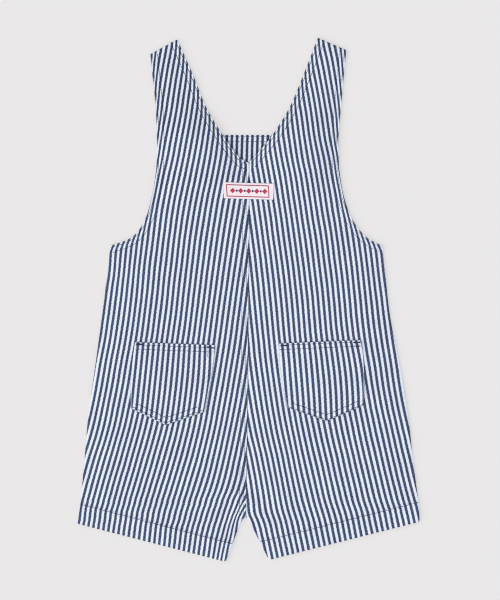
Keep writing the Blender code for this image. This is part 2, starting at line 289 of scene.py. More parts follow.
# A fold is a soft ridge in the back that runs from its start to its end, on the half with that sign.
Fold = namedtuple("Fold", "sign start_x start_y end_x end_y width height")
FOLDS = (
    Fold(-1, -6.0, -184.0, -17.0, -216.0, 9.0, 1.1),
    Fold(-1, -17.0, -176.0, -36.0, -208.0, 11.0, 0.9),
    Fold(-1, -44.0, -156.0, -74.0, -198.0, 16.0, 0.7),
    Fold(1, 2.0, -190.0, 20.0, -214.0, 9.0, 1.0),
    Fold(1, 12.0, -168.0, 46.0, -202.0, 15.0, 0.8),
)


def on_half(rows, half):
    """The rows of a table that belong to this half."""
    return [row for row in rows if row.sign == half.sign]


def above_stitching(places, half):
    """How far each place lies above the hem's stitching."""
    start, end = half.stitching
    along = unit(end - start)
    off = places - start
    return half.sign * (off[:, 0] * along[1] - off[:, 1] * along[0])


def leg_wall(places, half):
    return TURNED_HEM - (TURNED_HEM - CLOTH) * smooth(above_stitching(places, half) / HEM_STEP)


def air_below(places, half):
    free = (half.outer[:: FINE // 2], half.hem, half.inner_leg[:: FINE // 2], half.neck[:: FINE // 2])
    settled = np.min([distance(places, edge) for edge in free], axis=0) / AIR_EDGE
    from_seam = distance(places, half.centre_seam[::FINE])
    return (AIR - SEAM_DIP * bell(from_seam, SEAM_DIP_WIDTH)) * smooth(settled)


def fold_ridges(places, half):
    height = np.zeros(len(places))
    for fold in on_half(FOLDS, half):
        line = np.array(((fold.start_x, fold.start_y), (fold.end_x, fold.end_y)))
        height += fold.height * bell(distance(places, line), fold.width / 2)
    return height


def back_underside(places, half):
    lifts = button_lift(places) + strap_lift(places) + air_below(places, half) + fold_ridges(places, half)
    return leg_wall(places, half) + SEAM_GAP + lifts


for half in HALVES:
    heights = back_underside(half.centre_seam, half)
    print(f"{half.name} half: {heights.min():.1f} to {heights.max():.1f} mm up along the centre seam")

# %% [markdown]
# ## Pressed edges, creases and ripples
# What makes flat cloth look like cloth is small: a row of stitching presses a groove and puckers the
# cloth beside it, a turned edge is a little thicker, and ironing leaves soft ripples and a few creases.
# They are only tenths of a millimetre deep and could be a bump in the material, but as real geometry
# they catch the light from every side and cast real shadows. The creases are listed one by one, because
# they gather where the two legs pull at the crotch.

# %% Rows of stitching and creases on the back
# left and right are how far a row runs from its edge on each half. Its thread is given beside it.
Row = namedtuple("Row", "edge left right left_thread right_thread")
BACK_ROWS = (
    Row("neck", 2.1, 2.1, 0.62, 0.54),
    Row("neck", 6.9, 6.9, 0.66, 0.56),
    Row("armhole", 1.9, 1.8, 0.5, 0.38),
    Row("armhole", 6.8, 6.2, 0.5, 0.38),
)
FELLED_ROWS = (2.1, 6.1)  # the centre seam is folded over to the left and sewn down with two more rows
FELLED_THREAD = 0.42
SEAM_DROP = {"left": 0.15, "right": 0.6}  # so its fold stands a little above the right half
FACING_STEP = 0.25  # a turned neck or armhole edge is this much thicker
GROOVE_DEPTH, GROOVE_WIDTH = 0.2, 0.7
UNDER_GROOVE = 0.3  # deeper, so that the thread stays clear of the surface that the garment lies on
TURN_IN = 1.2  # a turned edge thins out over this width, past its last row
PUCKER_HEIGHT, PUCKER_LENGTH, PUCKER_REACH = 0.16, 6.5, 5.0
THINNEST = 0.35  # what is left of the cloth below the deepest crease

# A crease is a narrow trough through three points. tuck is how much cloth it hides.
Crease = namedtuple("Crease", "sign x1 y1 x2 y2 x3 y3 width depth tuck")
CREASES = (
    Crease(-1, -3.6, -188.2, -9.7, -200.0, -13.9, -214.5, 1.1, 1.1, 0.9),
    Crease(-1, -27.5, -183.0, -30.0, -191.0, -32.5, -198.0, 2.2, 0.35, 0.0),
    Crease(-1, -1.5, -176.0, -6.5, -191.0, -8.5, -200.0, 2.5, 0.4, 0.3),
    Crease(1, 0.0, -203.5, 9.0, -203.5, 18.0, -199.0, 2.2, 0.5, 0.0),
    Crease(1, 3.0, -176.0, 6.0, -188.0, 14.0, -198.0, 3.0, 0.3, 0.0),
)


def crease_line(crease):
    return curve_through(
        ((crease.x1, crease.y1), (crease.x2, crease.y2), (crease.x3, crease.y3)), set(), (4, 4)
    )


print(f"{len(CREASES)} creases, {min(c.depth for c in CREASES)} to {max(c.depth for c in CREASES)} mm deep")


# %% How stitching and ironing shape the cloth
def ripple(places, size, seed):
    """Smooth uneven waves between -1 and 1, about size across."""
    return np.array([noise.noise((x / size, y / size, seed)) for x, y in places])


def pressed(places, line, insets, turned):
    """The change of height beside an edge that is turned in and sewn with rows of stitching."""
    away = distance(places, line)
    height = FACING_STEP * (1 - smooth((away - insets[-1]) / TURN_IN)) if turned else np.zeros(len(places))
    for inset in insets:
        height -= GROOVE_DEPTH * bell(away - inset, GROOVE_WIDTH)
    near = bell(away - insets[-1], PUCKER_REACH)
    return height + PUCKER_HEIGHT * near * ripple(places, PUCKER_LENGTH, len(line))


def pressed_below(places, lines):
    """How far rows of stitching draw an underside up."""
    away = np.min([distance(places, line) for line in lines], axis=0)
    return UNDER_GROOVE * bell(away, GROOVE_WIDTH)


def seam_curl(places, line, reach=2.0, drop=0.35):
    """Cloth rolls down into a seam along its edge."""
    return -drop * beside(places, line, reach)


waves = ripple(RIGHT.neck, PUCKER_LENGTH, 1)
print(f"ripples along the neck edge: {waves.min():.2f} to {waves.max():.2f}")

# %% The upper face of the back
Swell = namedtuple("Swell", "height size seed")
SWELLS = (Swell(0.28, 46.0, 2.0), Swell(0.10, 15.0, 5.0))  # the uneven surface that ironing leaves
SWELL_EDGE = 12.0  # it fades out over this width at the outer edge


def back_details(places, half):
    height = sum(swell.height * ripple(places, swell.size, swell.seed) for swell in SWELLS)
    height *= smooth(distance(places, half.outer[::FINE]) / SWELL_EDGE)
    for edge in ("neck", "armhole"):
        insets = [getattr(row, half.name) for row in BACK_ROWS if row.edge == edge]
        height += pressed(places, getattr(half, edge)[:: FINE // 2], insets, turned=True)
    height += pressed(places, half.stitching, [0.0], turned=False)
    height += seam_curl(places, half.side[::FINE], 2.5, 0.3) + seam_curl(places, half.shoulder)
    height += seam_curl(places, half.centre_seam[::FINE], 1.8, SEAM_DROP[half.name])
    if half is LEFT:
        height += pressed(places, half.centre_seam[::FINE], FELLED_ROWS, turned=True)
    for crease in on_half(CREASES, half):
        height -= crease.depth * bell(distance(places, crease_line(crease)), crease.width)
    return height


def back_top(places, half):
    """The finished upper face of the back. However deep a crease is, some cloth stays below it."""
    wall = leg_wall(places, half) + back_details(places, half)
    return back_underside(places, half) + np.maximum(wall, THINNEST)


for half in HALVES:
    wall = back_top(half.side, half) - back_underside(half.side, half)
    print(f"{half.name} half: {wall.min():.2f} to {wall.max():.2f} mm of cloth along the side seam")

# %% [markdown]
# ## The grain
# The stripes are woven into the cloth, so they show how each panel was cut and how it was pulled when it
# was laid down. The back panels are cut on a slight slant and meet in a chevron. Unwrapping the mesh
# would give a UV map with its own stretches, so the map is worked out from the weave instead. The table
# says how far the stripes have drifted to the right of straight vertical lines, at each height and at
# four places across. Between its values the drift is interpolated, which bends every stripe smoothly.
# The result is kept as a UV map, in metres of cloth: U runs across the stripes and V runs along them.

# %% How far the stripes drift
STRIPE_REPEAT = 4.95  # one blue and one white stripe
GRAIN_PLACES = (0.0, 50.0, 100.0, 150.0)  # distance from the middle of the garment
Grain = namedtuple("Grain", "y left right")  # the drift at each grain place
GRAIN = (
    Grain(-250, (-51.7, -52.2, -52.7, -53.7), (41.7, 44.5, 49.0, 52.5)),
    Grain(-220, (-42.7, -44.2, -45.2, -46.2), (36.2, 38.5, 42.5, 45.5)),
    Grain(-210, (-40.2, -41.7, -42.7, -43.7), (33.7, 36.5, 40.0, 42.6)),
    Grain(-200, (-37.3, -39.0, -41.1, -42.0), (30.6, 33.7, 37.5, 41.3)),
    Grain(-190, (-34.0, -36.0, -38.2, -38.9), (29.2, 31.2, 34.5, 38.3)),
    Grain(-180, (-29.5, -32.7, -35.1, -36.1), (27.9, 29.0, 32.3, 35.8)),
    Grain(-150, (-22.7, -24.2, -26.5, -27.7), (22.7, 22.6, 25.8, 29.0)),
    Grain(-120, (-16.8, -16.9, -18.4, -18.8), (15.8, 16.4, 19.5, 22.5)),
    Grain(-90, (-10.7, -12.0, -12.2, -12.3), (10.6, 11.5, 14.0, 16.3)),
    Grain(-60, (-5.8, -6.5, -7.0, -6.9), (6.6, 7.5, 9.5, 12.0)),
    Grain(-30, (-1.5, -1.9, -1.9, -1.3), (3.5, 4.0, 5.0, 7.5)),
    Grain(0, (2.5, 2.0, 2.0, 3.3), (0.5, 1.5, 2.0, 3.6)),
    Grain(30, (7.1, 5.5, 4.9, 7.8), (-2.5, -2.0, -1.0, -1.0)),
    Grain(60, (11.8, 9.2, 8.5, 9.7), (-6.4, -6.0, -4.8, -4.3)),
    Grain(90, (16.3, 13.8, 12.0, 13.0), (-10.5, -10.4, -9.6, -9.1)),
    Grain(120, (21.3, 19.8, 17.9, 18.0), (-15.5, -15.2, -15.0, -15.0)),
    Grain(135, (23.8, 22.8, 21.5, 21.0), (-18.0, -18.2, -17.3, -17.8)),
    Grain(150, (25.0, 25.4, 24.6, 24.6), (-20.5, -20.6, -21.3, -22.3)),
    Grain(180, (29.0, 30.3, 31.0, 31.0), (-24.0, -24.8, -26.6, -28.1)),
    Grain(210, (34.0, 34.7, 36.1, 36.6), (-30.0, -30.5, -31.6, -32.6)),
    Grain(255, (43.0, 44.0, 43.5, 44.0), (-39.0, -42.0, -38.0, -38.5)),
)


def eased(heights, values, y):
    """A smooth curve through the values at the heights, at each y."""
    slopes = np.gradient(values, heights)
    i = np.clip(np.searchsorted(heights, y) - 1, 0, len(heights) - 2)
    step = heights[i + 1] - heights[i]
    t = np.clip((y - heights[i]) / step, 0.0, 1.0)
    start = values[i] + (slopes[i] * step * t) * (1 - t) ** 2
    rise = (values[i + 1] - values[i]) * t * t * (3 - 2 * t)
    return start + rise - slopes[i + 1] * step * (1 - t) * t * t


def panel_drift(places, half):
    heights = np.array([row.y for row in GRAIN], dtype=float)
    drifts = np.array([getattr(row, half.name) for row in GRAIN])
    curves = [eased(heights, drifts[:, i], places[:, 1]) for i in range(len(GRAIN_PLACES))]
    share = np.clip(places[:, 0] * half.sign, 0, None) / (GRAIN_PLACES[1] - GRAIN_PLACES[0])
    i = np.clip(share.astype(int), 0, len(GRAIN_PLACES) - 2)
    low, high = np.choose(i, curves[:-1]), np.choose(i, curves[1:])
    return low + (high - low) * (share - i)


for half in HALVES:
    hem_drift, shoulder_drift = panel_drift(np.array((half.hem[0], half.shoulder[0])), half)
    print(f"{half.name} half: the stripes drift by {shoulder_drift - hem_drift:.0f} mm, hem to shoulder")

# %% What pulls the stripes aside
# Below the hem's stitching the stripes lean by these degrees: at the inner leg, the middle and the side.
HEM_LEAN = {"left": (9.5, 6.0, 7.0), "right": (-12.0, -10.6, -12.0)}
HEM_LEAN_PLACES = (20.0, 90.0, 150.0)
# Sewing a curved edge turns its band of cloth a little, which pulls the stripes towards the middle.
NECK_BAND, NECK_PULL = 6.6, 1.9
ARMHOLE_BAND, ARMHOLE_PULL = 5.8, 2.1
# The left leg is gathered along its inner edge, below this height, and its stripes are pulled aside.
GATHER_TOP, GATHER_RISE, GATHER_WIDTH, GATHER_PULL = -189.5, 16.0, 8.5, -4.8
GATHER_EASE, GATHER_FALL = 0.45, 20.0  # it eases by this share, over as long a stretch lower down
# On the right leg the stripes bend sharply at this height, most of all beside the inner edge.
BEND_Y, BEND_HALF, BEND_REACH, BEND_PULL = -203.5, 12.0, 30.0, -1.1


def panel_grain(places, half):
    """U and V of a place on a panel, in millimetres of cloth."""
    above = above_stitching(places, half)
    across = half.stitching[0] - half.stitching[1]
    down = np.minimum(above, 0.0) * np.linalg.norm(across) / abs(across[0])
    on_line = places - np.column_stack((np.zeros(len(places)), down))
    lean = np.interp(np.abs(places[:, 0]), HEM_LEAN_PLACES, HEM_LEAN[half.name])
    drift = panel_drift(on_line, half) + down * np.tan(np.radians(lean))
    neck = np.clip(1 - distance(places, half.neck[::FINE]) / NECK_BAND, 0, 1)
    armhole = np.clip(1 - distance(places, half.armhole[::FINE]) / ARMHOLE_BAND, 0, 1)
    drift += half.sign * (NECK_PULL * neck - ARMHOLE_PULL * armhole)
    if half is LEFT:
        away = distance(places, np.vstack((half.inner_leg, half.centre_seam[1:FINE])))
        fall = smooth((GATHER_TOP - places[:, 1]) / GATHER_RISE)
        fall *= 1 - GATHER_EASE * smooth((GATHER_TOP - GATHER_FALL - places[:, 1]) / GATHER_FALL)
        drift += GATHER_PULL * bell(away, GATHER_WIDTH) * fall
    else:
        bend = np.clip(1 - np.abs(places[:, 1] - BEND_Y) / BEND_HALF, 0, 1)
        drift += BEND_PULL * bend * (1 - smooth(places[:, 0] / BEND_REACH))
    drift += 0.25 * ripple(places, 24.0, 11.0 + half.sign) + 0.12 * ripple(places, 9.0, 14.0)
    for crease in on_half(CREASES, half):
        if crease.tuck:
            line = crease_line(crease)
            right_of = places[:, 0] - np.interp(places[:, 1], line[::-1, 1], line[::-1, 0])
            along = (line[0][1] - places[:, 1]) / (line[0][1] - line[-1][1])
            fade = smooth(4 * along) * smooth(4 * (1 - along))
            drift += crease.tuck * fade * (0.5 - smooth(right_of / crease.width + 0.5))
    return np.column_stack((places[:, 0] - drift, places[:, 1]))


cloth_across = panel_grain(np.array(((0.0, WAIST_SEAM_Y), RIGHT.side[-1])), RIGHT)[:, 0]
print(f"the right half is {np.ptp(cloth_across) / STRIPE_REPEAT:.0f} stripes wide above the waist")

# %% [markdown]
# ## Colours and nodes
# Colours are written as sRGB hex, as a painter or dyer would give them, and one function turns them into
# the linear values that shaders want. A material could be drawn by hand in the shader editor, but in a
# script each node is one line: one small function adds it, sets it up, links it and gives its outputs.

# %% Colours, nodes and materials
def linear(hex_colour):
    channels = [int(hex_colour[i : i + 2], 16) / 255 for i in (1, 3, 5)]
    return [c / 12.92 if c <= 0.04045 else ((c + 0.055) / 1.055) ** 2.4 for c in channels] + [1.0]


def add(tree, kind, inputs=(), **settings):
    """Adds a shader node and gives its outputs. An input is a value, or another node's output to link."""
    node = tree.nodes.new("ShaderNode" + kind)
    for name, value in settings.items():
        setattr(node, name, value)
    named = inputs if isinstance(inputs, dict) else dict(enumerate(inputs))
    for socket, value in named.items():
        if isinstance(value, bpy.types.NodeSocket):
            tree.links.new(value, node.inputs[socket])
        else:
            node.inputs[socket].default_value = value
    return node.outputs


def new_material(name):
    material = bpy.data.materials.new(name)
    material.use_nodes = True
    material.node_tree.nodes.clear()
    return material, material.node_tree


def finish_material(tree, look):
    surface = add(tree, "BsdfPrincipled", look)[0]
    add(tree, "OutputMaterial", {"Surface": surface})


print("mid grey, #808080, is", round(linear("#808080")[0], 3), "of the light of white")

# %% [markdown]
# ## Hickory stripe twill
# The cloth is a cotton twill, woven from indigo and bleached yarns and washed. The eye sees three
# scales: the stripes themselves, a ragged stripe edge where the yarns float over each other, and the fine
# diagonal of the twill. A picture of cloth could be repeated over the mesh, but nodes that measure in
# millimetres stay sharp, and bend with the UV map. The real ribs are about 0.7 mm apart. They are drawn
# about 1.0 mm apart here, because finer ones would blur away. The surface is matt, with the faint sheen
# of cotton fibres.

# %% Sizes and colours of the twill
BLUE_SHARE = 0.53  # of the stripe repeat
# the first blue is the one drawn where shade is painted
BLUE_SHADED, BLUE_DARK, BLUE_LIGHT = "#0F1728", "#192642", "#4A5B7F"
WHITE_DARK, WHITE_LIGHT = "#CAD1DF", "#E0E6F1"
RIB_ACROSS, RIB_ALONG = 1.7, 1.2  # mm between twill ribs, across and along the stripes
FIBRES_PER_MM, CLOUDS_PER_MM = 0.9, 0.06  # how fine the yarns' unevenness is, and that of the dyeing
RAGGED = 0.27  # mm, how far the ribs push a stripe's edge to and fro
YARN_WANDER = 0.5  # mm, how far it strays besides
EDGE_SOFTNESS = 0.25
GREYED = 0.18  # how much darker cloth is that never gets the light
TUCKED_REACH = 2.5  # mm, how far the painted shade beside a fold or under an edge reaches
TUCKED_SHADE = 0.6  # how dark that painted shade gets
print("stripe repeat", STRIPE_REPEAT, "mm, of which blue", round(STRIPE_REPEAT * BLUE_SHARE, 2))


# %% Striped cotton
def striped_cotton():
    """Yarn-dyed cotton twill: matt, with ragged stripes, a fine diagonal rib and a trace of sheen."""
    material, tree = new_material("yarn_dyed_cotton_twill")
    u, v, _ = add(tree, "SeparateXYZ", [add(tree, "UVMap", uv_map="cloth")[0]])
    across = add(tree, "Math", [u, 1 / MM], operation="MULTIPLY")[0]
    along = add(tree, "Math", [v, 1 / MM], operation="MULTIPLY")[0]
    in_mm = add(tree, "CombineXYZ", [across, along])[0]
    fibres = add(tree, "TexNoise", {"Vector": in_mm, "Scale": FIBRES_PER_MM, "Detail": 2.0})[0]
    cloud = add(tree, "TexNoise", {"Vector": in_mm, "Scale": CLOUDS_PER_MM, "Detail": 1.0})[0]

    # ribs: a wave across the diagonal
    turn_across = add(tree, "Math", [across, 2 * math.pi / RIB_ACROSS], operation="MULTIPLY")[0]
    turn_along = add(tree, "Math", [along, 2 * math.pi / RIB_ALONG], operation="MULTIPLY")[0]
    turns = add(tree, "Math", [turn_across, turn_along], operation="ADD")[0]
    ribs = add(tree, "Math", [turns], operation="SINE")[0]

    # ragged stripe edges: a step at each rib, and a slow wander
    step = add(tree, "Math", [ribs, RAGGED], operation="MULTIPLY")[0]
    uneven = add(tree, "Math", [fibres, 0.5], operation="SUBTRACT")[0]
    wander = add(tree, "Math", [uneven, YARN_WANDER], operation="MULTIPLY")[0]
    strayed = add(tree, "Math", [across, wander], operation="ADD")[0]
    from_blue = add(tree, "Math", [strayed, STRIPE_REPEAT / 2], operation="PINGPONG")[0]
    ragged = add(tree, "Math", [from_blue, step], operation="ADD")[0]
    edge = BLUE_SHARE * STRIPE_REPEAT / 2
    rise = {"Value": ragged, "From Min": edge - EDGE_SOFTNESS, "From Max": edge + EDGE_SOFTNESS}
    white = add(tree, "MapRange", rise, interpolation_type="SMOOTHSTEP")[0]

    # washing wears the indigo off where cloth is rubbed; below 0 the value is painted shade, which deepens
    # the blue and greys the cloth
    worn = add(tree, "Attribute", attribute_name="worn")["Fac"]
    deep = add(tree, "Math", [worn, -1.0], operation="MULTIPLY", use_clamp=True)[0]
    white = add(tree, "Math", [white, worn], operation="MAXIMUM")[0]
    greyed = add(tree, "Math", [deep, -GREYED, 1.0], operation="MULTIPLY_ADD")[0]

    # the colours of the yarns
    flecks = {"Value": fibres, "From Min": 0.32, "From Max": 0.68}
    fleck = add(tree, "MapRange", flecks, interpolation_type="SMOOTHSTEP")[0]
    tone = add(tree, "Math", [ribs, 0.25, fleck], operation="MULTIPLY_ADD")[0]
    blue_tone = add(tree, "Math", [tone, 0.0], operation="ADD", use_clamp=True)[0]
    blues = {"Factor": blue_tone, "A": linear(BLUE_DARK), "B": linear(BLUE_LIGHT)}
    blue = add(tree, "Mix", blues, data_type="RGBA")["Result"]
    blue = add(tree, "Mix", {"Factor": deep, "A": blue, "B": linear(BLUE_SHADED)}, data_type="RGBA")["Result"]
    white_tone = add(tree, "Math", [tone, 0.2], operation="ADD", use_clamp=True)[0]
    whites = {"Factor": white_tone, "A": linear(WHITE_DARK), "B": linear(WHITE_LIGHT)}
    undyed = add(tree, "Mix", whites, data_type="RGBA")["Result"]
    yarns = add(tree, "Mix", {"Factor": white, "A": blue, "B": undyed}, data_type="RGBA")["Result"]

    # painted shade beside folds and under edges, from ambient occlusion, with a slight cloudiness of the
    # dyeing
    open_side = add(tree, "AmbientOcclusion", {"Distance": TUCKED_REACH * MM}, samples=8)["AO"]
    tuck = {"Value": open_side, "From Min": 0.3, "From Max": 0.95, "To Min": TUCKED_SHADE}
    tucked = add(tree, "MapRange", tuck, interpolation_type="SMOOTHSTEP")[0]
    clouds = {"Value": cloud, "From Min": 0.3, "From Max": 0.7, "To Min": 0.97, "To Max": 1.03}
    clouded = add(tree, "MapRange", clouds, interpolation_type="SMOOTHSTEP")[0]
    shade = add(tree, "Math", [tucked, greyed], operation="MULTIPLY")[0]
    value = add(tree, "Math", [clouded, shade], operation="MULTIPLY")[0]
    colour = add(tree, "HueSaturation", {"Value": value, "Color": yarns})[0]

    relief = add(tree, "Math", [ribs, 0.5, fibres], operation="MULTIPLY_ADD")[0]
    bump = add(tree, "Bump", {"Height": relief, "Strength": 0.4, "Distance": 0.15 * MM})[0]
    look = {"Base Color": colour, "Roughness": 0.88, "Specular IOR Level": 0.25, "Normal": bump}
    finish_material(tree, look | {"Sheen Weight": 0.08, "Sheen Roughness": 0.5})
    return material


cotton = striped_cotton()
print(f"{cotton.name}: {len(cotton.node_tree.nodes)} nodes")

# %% [markdown]
# ## Making cloth
# A panel could be a plane cut to its outline, but then its rows wouldn't follow the edges. A flat grid
# is the natural start for a woven piece. Its rows are laid between the two edges of the outline, an
# extrusion gives it a wall, and a small bevel rounds the edges as a pressed turning does. The UV map
# comes last, when all vertices are there, so that a stripe also runs over the edge.

# %% From a bmesh to an object
def in_collection(name, bm, material):
    """Finishes a bmesh that was modelled in millimetres as an object in metres."""
    bmesh.ops.scale(bm, vec=(MM,) * 3, verts=bm.verts[:])
    for face in bm.faces:
        face.smooth = True
    mesh = bpy.data.meshes.new(name)
    bm.to_mesh(mesh)
    bm.free()
    mesh.materials.append(material)
    piece = bpy.data.objects.new(name, mesh)
    bpy.context.scene.collection.objects.link(piece)
    return piece


# %% A piece of cloth from rows of places
EDGE_BEVEL = 0.38
RIM_ANGLE = math.radians(50)  # an edge that is sharper than this belongs to the rim


def places_of(verts):
    return np.array([vert.co.xy for vert in verts])


def set_heights(verts, heights):
    for vert, height in zip(verts, heights):
        vert.co.z = height


def cloth_piece(name, rows, lower, upper, grain, worn=None, material=cotton, bevel=EDGE_BEVEL):
    """rows holds the places of each row. lower and upper give the heights of the two faces."""
    bm = bmesh.new()
    count, columns = rows.shape[:2]
    bmesh.ops.create_grid(bm, x_segments=columns - 1, y_segments=count - 1, size=0.5)
    for vert in bm.verts:
        row, column = round((vert.co.y + 0.5) * (count - 1)), round((vert.co.x + 0.5) * (columns - 1))
        vert.co.xy = rows[row, column]
    below = bm.verts[:]
    made = bmesh.ops.extrude_face_region(bm, geom=bm.faces[:], use_keep_orig=True)
    above = [item for item in made["geom"] if isinstance(item, bmesh.types.BMVert)]
    set_heights(below, lower(places_of(below)))
    set_heights(above, upper(places_of(above)))
    bmesh.ops.recalc_face_normals(bm, faces=bm.faces[:])
    rim = [edge for edge in bm.edges if edge.calc_face_angle(0.0) > RIM_ANGLE]
    bmesh.ops.bevel(
        bm, geom=rim, offset=bevel, affect="EDGES", segments=2, profile=0.5, material=-1, clamp_overlap=True
    )
    uv_map = bm.loops.layers.uv.new("cloth")
    bm.verts.index_update()
    # the vertex value is above 0 where the blue is rubbed off, and below 0 where shade is painted
    if worn:
        wear = bm.verts.layers.float.new("worn")
        for vert, amount in zip(bm.verts, worn(places_of(bm.verts))):
            vert[wear] = amount
    uvs = grain(places_of(bm.verts)) * MM
    for face in bm.faces:
        for corner in face.loops:
            corner[uv_map].uv = uvs[corner.vert.index]
    piece = in_collection(name, bm, material)
    highest = max(vert.co.z for vert in piece.data.vertices) / MM
    print(f"{name}: {len(piece.data.polygons)} faces, {highest:.1f} mm high")
    return piece


# %% Rows of places
def shares(columns, crowding=0.35):
    """Even shares from 0 to 1, drawn a little towards both ends."""
    even = np.linspace(0, 1, columns + 1)
    return even - crowding * np.sin(2 * math.pi * even) / (2 * math.pi)


def lay_rows(outer, inner, columns, crowding=0.35):
    """Rows of places from the outer to the inner edge."""
    share = shares(columns, crowding)[None, :, None]
    return outer[:, None, :] * (1 - share) + inner[:, None, :] * share


def round_corners(rows, radius=HEM_CORNER):
    """The same rows with both corners of the first one, the hem, rounded off."""
    across, up = unit(rows[0, -1] - rows[0, 0]), unit(rows[2, 0] - rows[0, 0])
    from_hem = np.linalg.norm(rows - rows[:1], axis=2)
    below = np.clip(1 - from_hem / radius, 0, None)
    for inwards, side in ((across, rows[:, :1]), (-across, rows[:, -1:])):
        aside = np.clip(1 - np.linalg.norm(rows - side, axis=2) / radius, 0, None)
        in_by = radius * aside * (1 - np.sqrt(1 - below**2 / 2))
        up_by = radius * below * (1 - np.sqrt(1 - aside**2 / 2))
        rows = rows + in_by[..., None] * inwards + up_by[..., None] * up
    return rows


print("ten columns, drawn to both ends:", np.round(shares(10), 2))

# %% [markdown]
# ## The two back panels
# Each half of the back is cut in one piece with its leg and its strap. It is the largest piece and the
# one that shows, so its mesh is finest. Where cloth is folded over, and on the straps, painted shade
# deepens the blue, and where it is rubbed, it fades. That could be painted by hand, but a value for each
# vertex is easier to keep true to the edges.

# %% Where painted shade deepens the blue, and where the blue is rubbed off
BACK_COLUMNS = 120
FOLD_WIDTH, FOLD_SHADE = 1.1, 0.6  # painted shade at a folded edge reaches this far in, and is this strong
NECK_WEAR, NECK_WEAR_WIDTH = 0.08, 1.8  # how much of the blue is gone at the point of the neck
NECK_WEAR_FROM, NECK_WEAR_TO = (118.0, 6.0), (148.0, 14.0)  # from and up to here, and how gradually
STRAP_SHADE = {"left": 0.22, "right": 0.07}  # painted shade on the straps: how much deeper their blue is drawn
STRAP_SHADE_FROM, STRAP_SHADE_RISE = 95.0, 30.0  # above here, over this height
dressed = {}


def folded(places, *edges):
    """1 at a folded edge and 0 a little way in."""
    return 1 - smooth(np.min([distance(places, edge) for edge in edges], axis=0) / FOLD_WIDTH)


def back_wear_and_shade(places, half):
    """Above 0 where the blue is rubbed off, at the point of the neck, and below 0 for painted shade at the
    other edges and on the straps.
    """
    neck, armhole = half.neck[:: FINE // 2], half.armhole[:: FINE // 2]
    start, end = [smooth((places[:, 1] - y) / width) for y, width in (NECK_WEAR_FROM, NECK_WEAR_TO)]
    at_point = start * (1 - end)
    on_strap = smooth((places[:, 1] - STRAP_SHADE_FROM) / STRAP_SHADE_RISE)
    # painted shade along the folded edges, and on the straps
    painted_shade = FOLD_SHADE * folded(places, half.hem, half.shoulder, armhole, neck)
    painted_shade = np.maximum(painted_shade, STRAP_SHADE[half.name] * on_strap)
    return NECK_WEAR * at_point * beside(places, neck, NECK_WEAR_WIDTH) - (1 - at_point) * painted_shade


for half in HALVES:
    at_tip = back_wear_and_shade(half.neck[:1], half)[0]
    print(f"{half.name} half: {at_tip:.2f} of the blue is gone at the neck's point")


# %% Back panels
def back(half):
    return cloth_piece(
        f"back_{half.name}_cloth",
        round_corners(lay_rows(half.outer, half.inner, BACK_COLUMNS, crowding=0.5)),
        lambda places: back_underside(places, half),
        lambda places: back_top(places, half),
        lambda places: panel_grain(places, half),
        worn=lambda places: back_wear_and_shade(places, half),
    )


for half in HALVES:
    dressed[f"back_{half.name}"] = back(half)

# %% [markdown]
# ## The front legs
# The fronts lie face down and flat. They could be a copy of the back's lower part, but their outer face
# rests on the surface, so they are laid from the same outline with a level wall. Only the faintest
# creases are pressed into it, and each edge curls up to meet the back at the side seam.

# %% Front legs
FRONT_COLUMNS = 42
FRONT_STEP = 2  # use every second row of the fine outline
# A crease marks the front too, but moved aside by so many millimetres, and so much wider and flatter.
MARK_SHIFT, MARK_SPREAD, MARK_DEPTH = 4.0, 1.3, 0.5
SIDE_CURL, SEAM_CURL = (0.3, 2.5), (0.25, 1.8)  # how high an edge curls up, and over which width


def front_underside(places, half):
    lift = np.zeros(len(places))
    for crease in on_half(CREASES, half):
        away = distance(places + (0.0, MARK_SHIFT), crease_line(crease))
        lift += MARK_DEPTH * crease.depth * bell(away, MARK_SPREAD * crease.width)
    for edge, (height, reach) in ((half.side, SIDE_CURL), (half.centre_seam, SEAM_CURL)):
        lift += height * beside(places, edge[::FINE], reach)
    height, reach = SEAM_CURL
    lift += height * smooth(1 + (places[:, 1] - WAIST_SEAM_Y) / reach)
    return lift + pressed_below(places, [half.stitching])


def front(half):
    waist = WAIST_SEAM_Y - SEWN_GAP / 2
    last = first_row(BELOW_WAIST)
    outer = np.vstack((half.outer[: last + 1 : FRONT_STEP], place_at(half.outer, waist)))
    inner = np.vstack((half.inner[: last + 1 : FRONT_STEP], place_at(half.inner, waist)))
    return cloth_piece(
        f"front_{half.name}_cloth",
        round_corners(lay_rows(outer, inner, FRONT_COLUMNS)),
        lambda places: front_underside(places, half),
        lambda places: leg_wall(places, half),
        lambda places: panel_grain(places, half),
        # painted shade along the folded hem
        worn=lambda places: -FOLD_SHADE * folded(places, half.hem),
    )


for half in HALVES:
    dressed[f"front_{half.name}"] = front(half)

# %% [markdown]
# ## The bib
# The bib is the front above the waist seam. Only its straight top edge shows, inside the point of the
# neck, but it is made whole, because the garment can be turned over. It is cut with its stripes upright,
# unlike the back, and that contrast is what reads as a second layer.

# %% Straight stripes
BOW_WIDTH, BOW_Y, BOW_HALF = 70.0, -80.0, 33.0  # how wide a bowed piece is, and its middle and half height
YARN_STRAY = 0.15  # how far a stripe wanders from straight


def straight_grain(x, y, lean, repeat, bow=0.0):
    """Straight stripes, with a blue one through x, y. Those to the right of it may bow by a little."""

    def grain(places):
        across = places[:, 0] - x - (places[:, 1] - y) * math.tan(math.radians(lean))
        share = np.clip(across / BOW_WIDTH, 0.0, 1.0) ** 1.5
        across -= bow * share * (0.6 - ((places[:, 1] - BOW_Y) / BOW_HALF) ** 2)
        across -= YARN_STRAY * ripple(places, 16.0, repeat)
        return np.column_stack((across * STRIPE_REPEAT / repeat, places[:, 1]))

    return grain


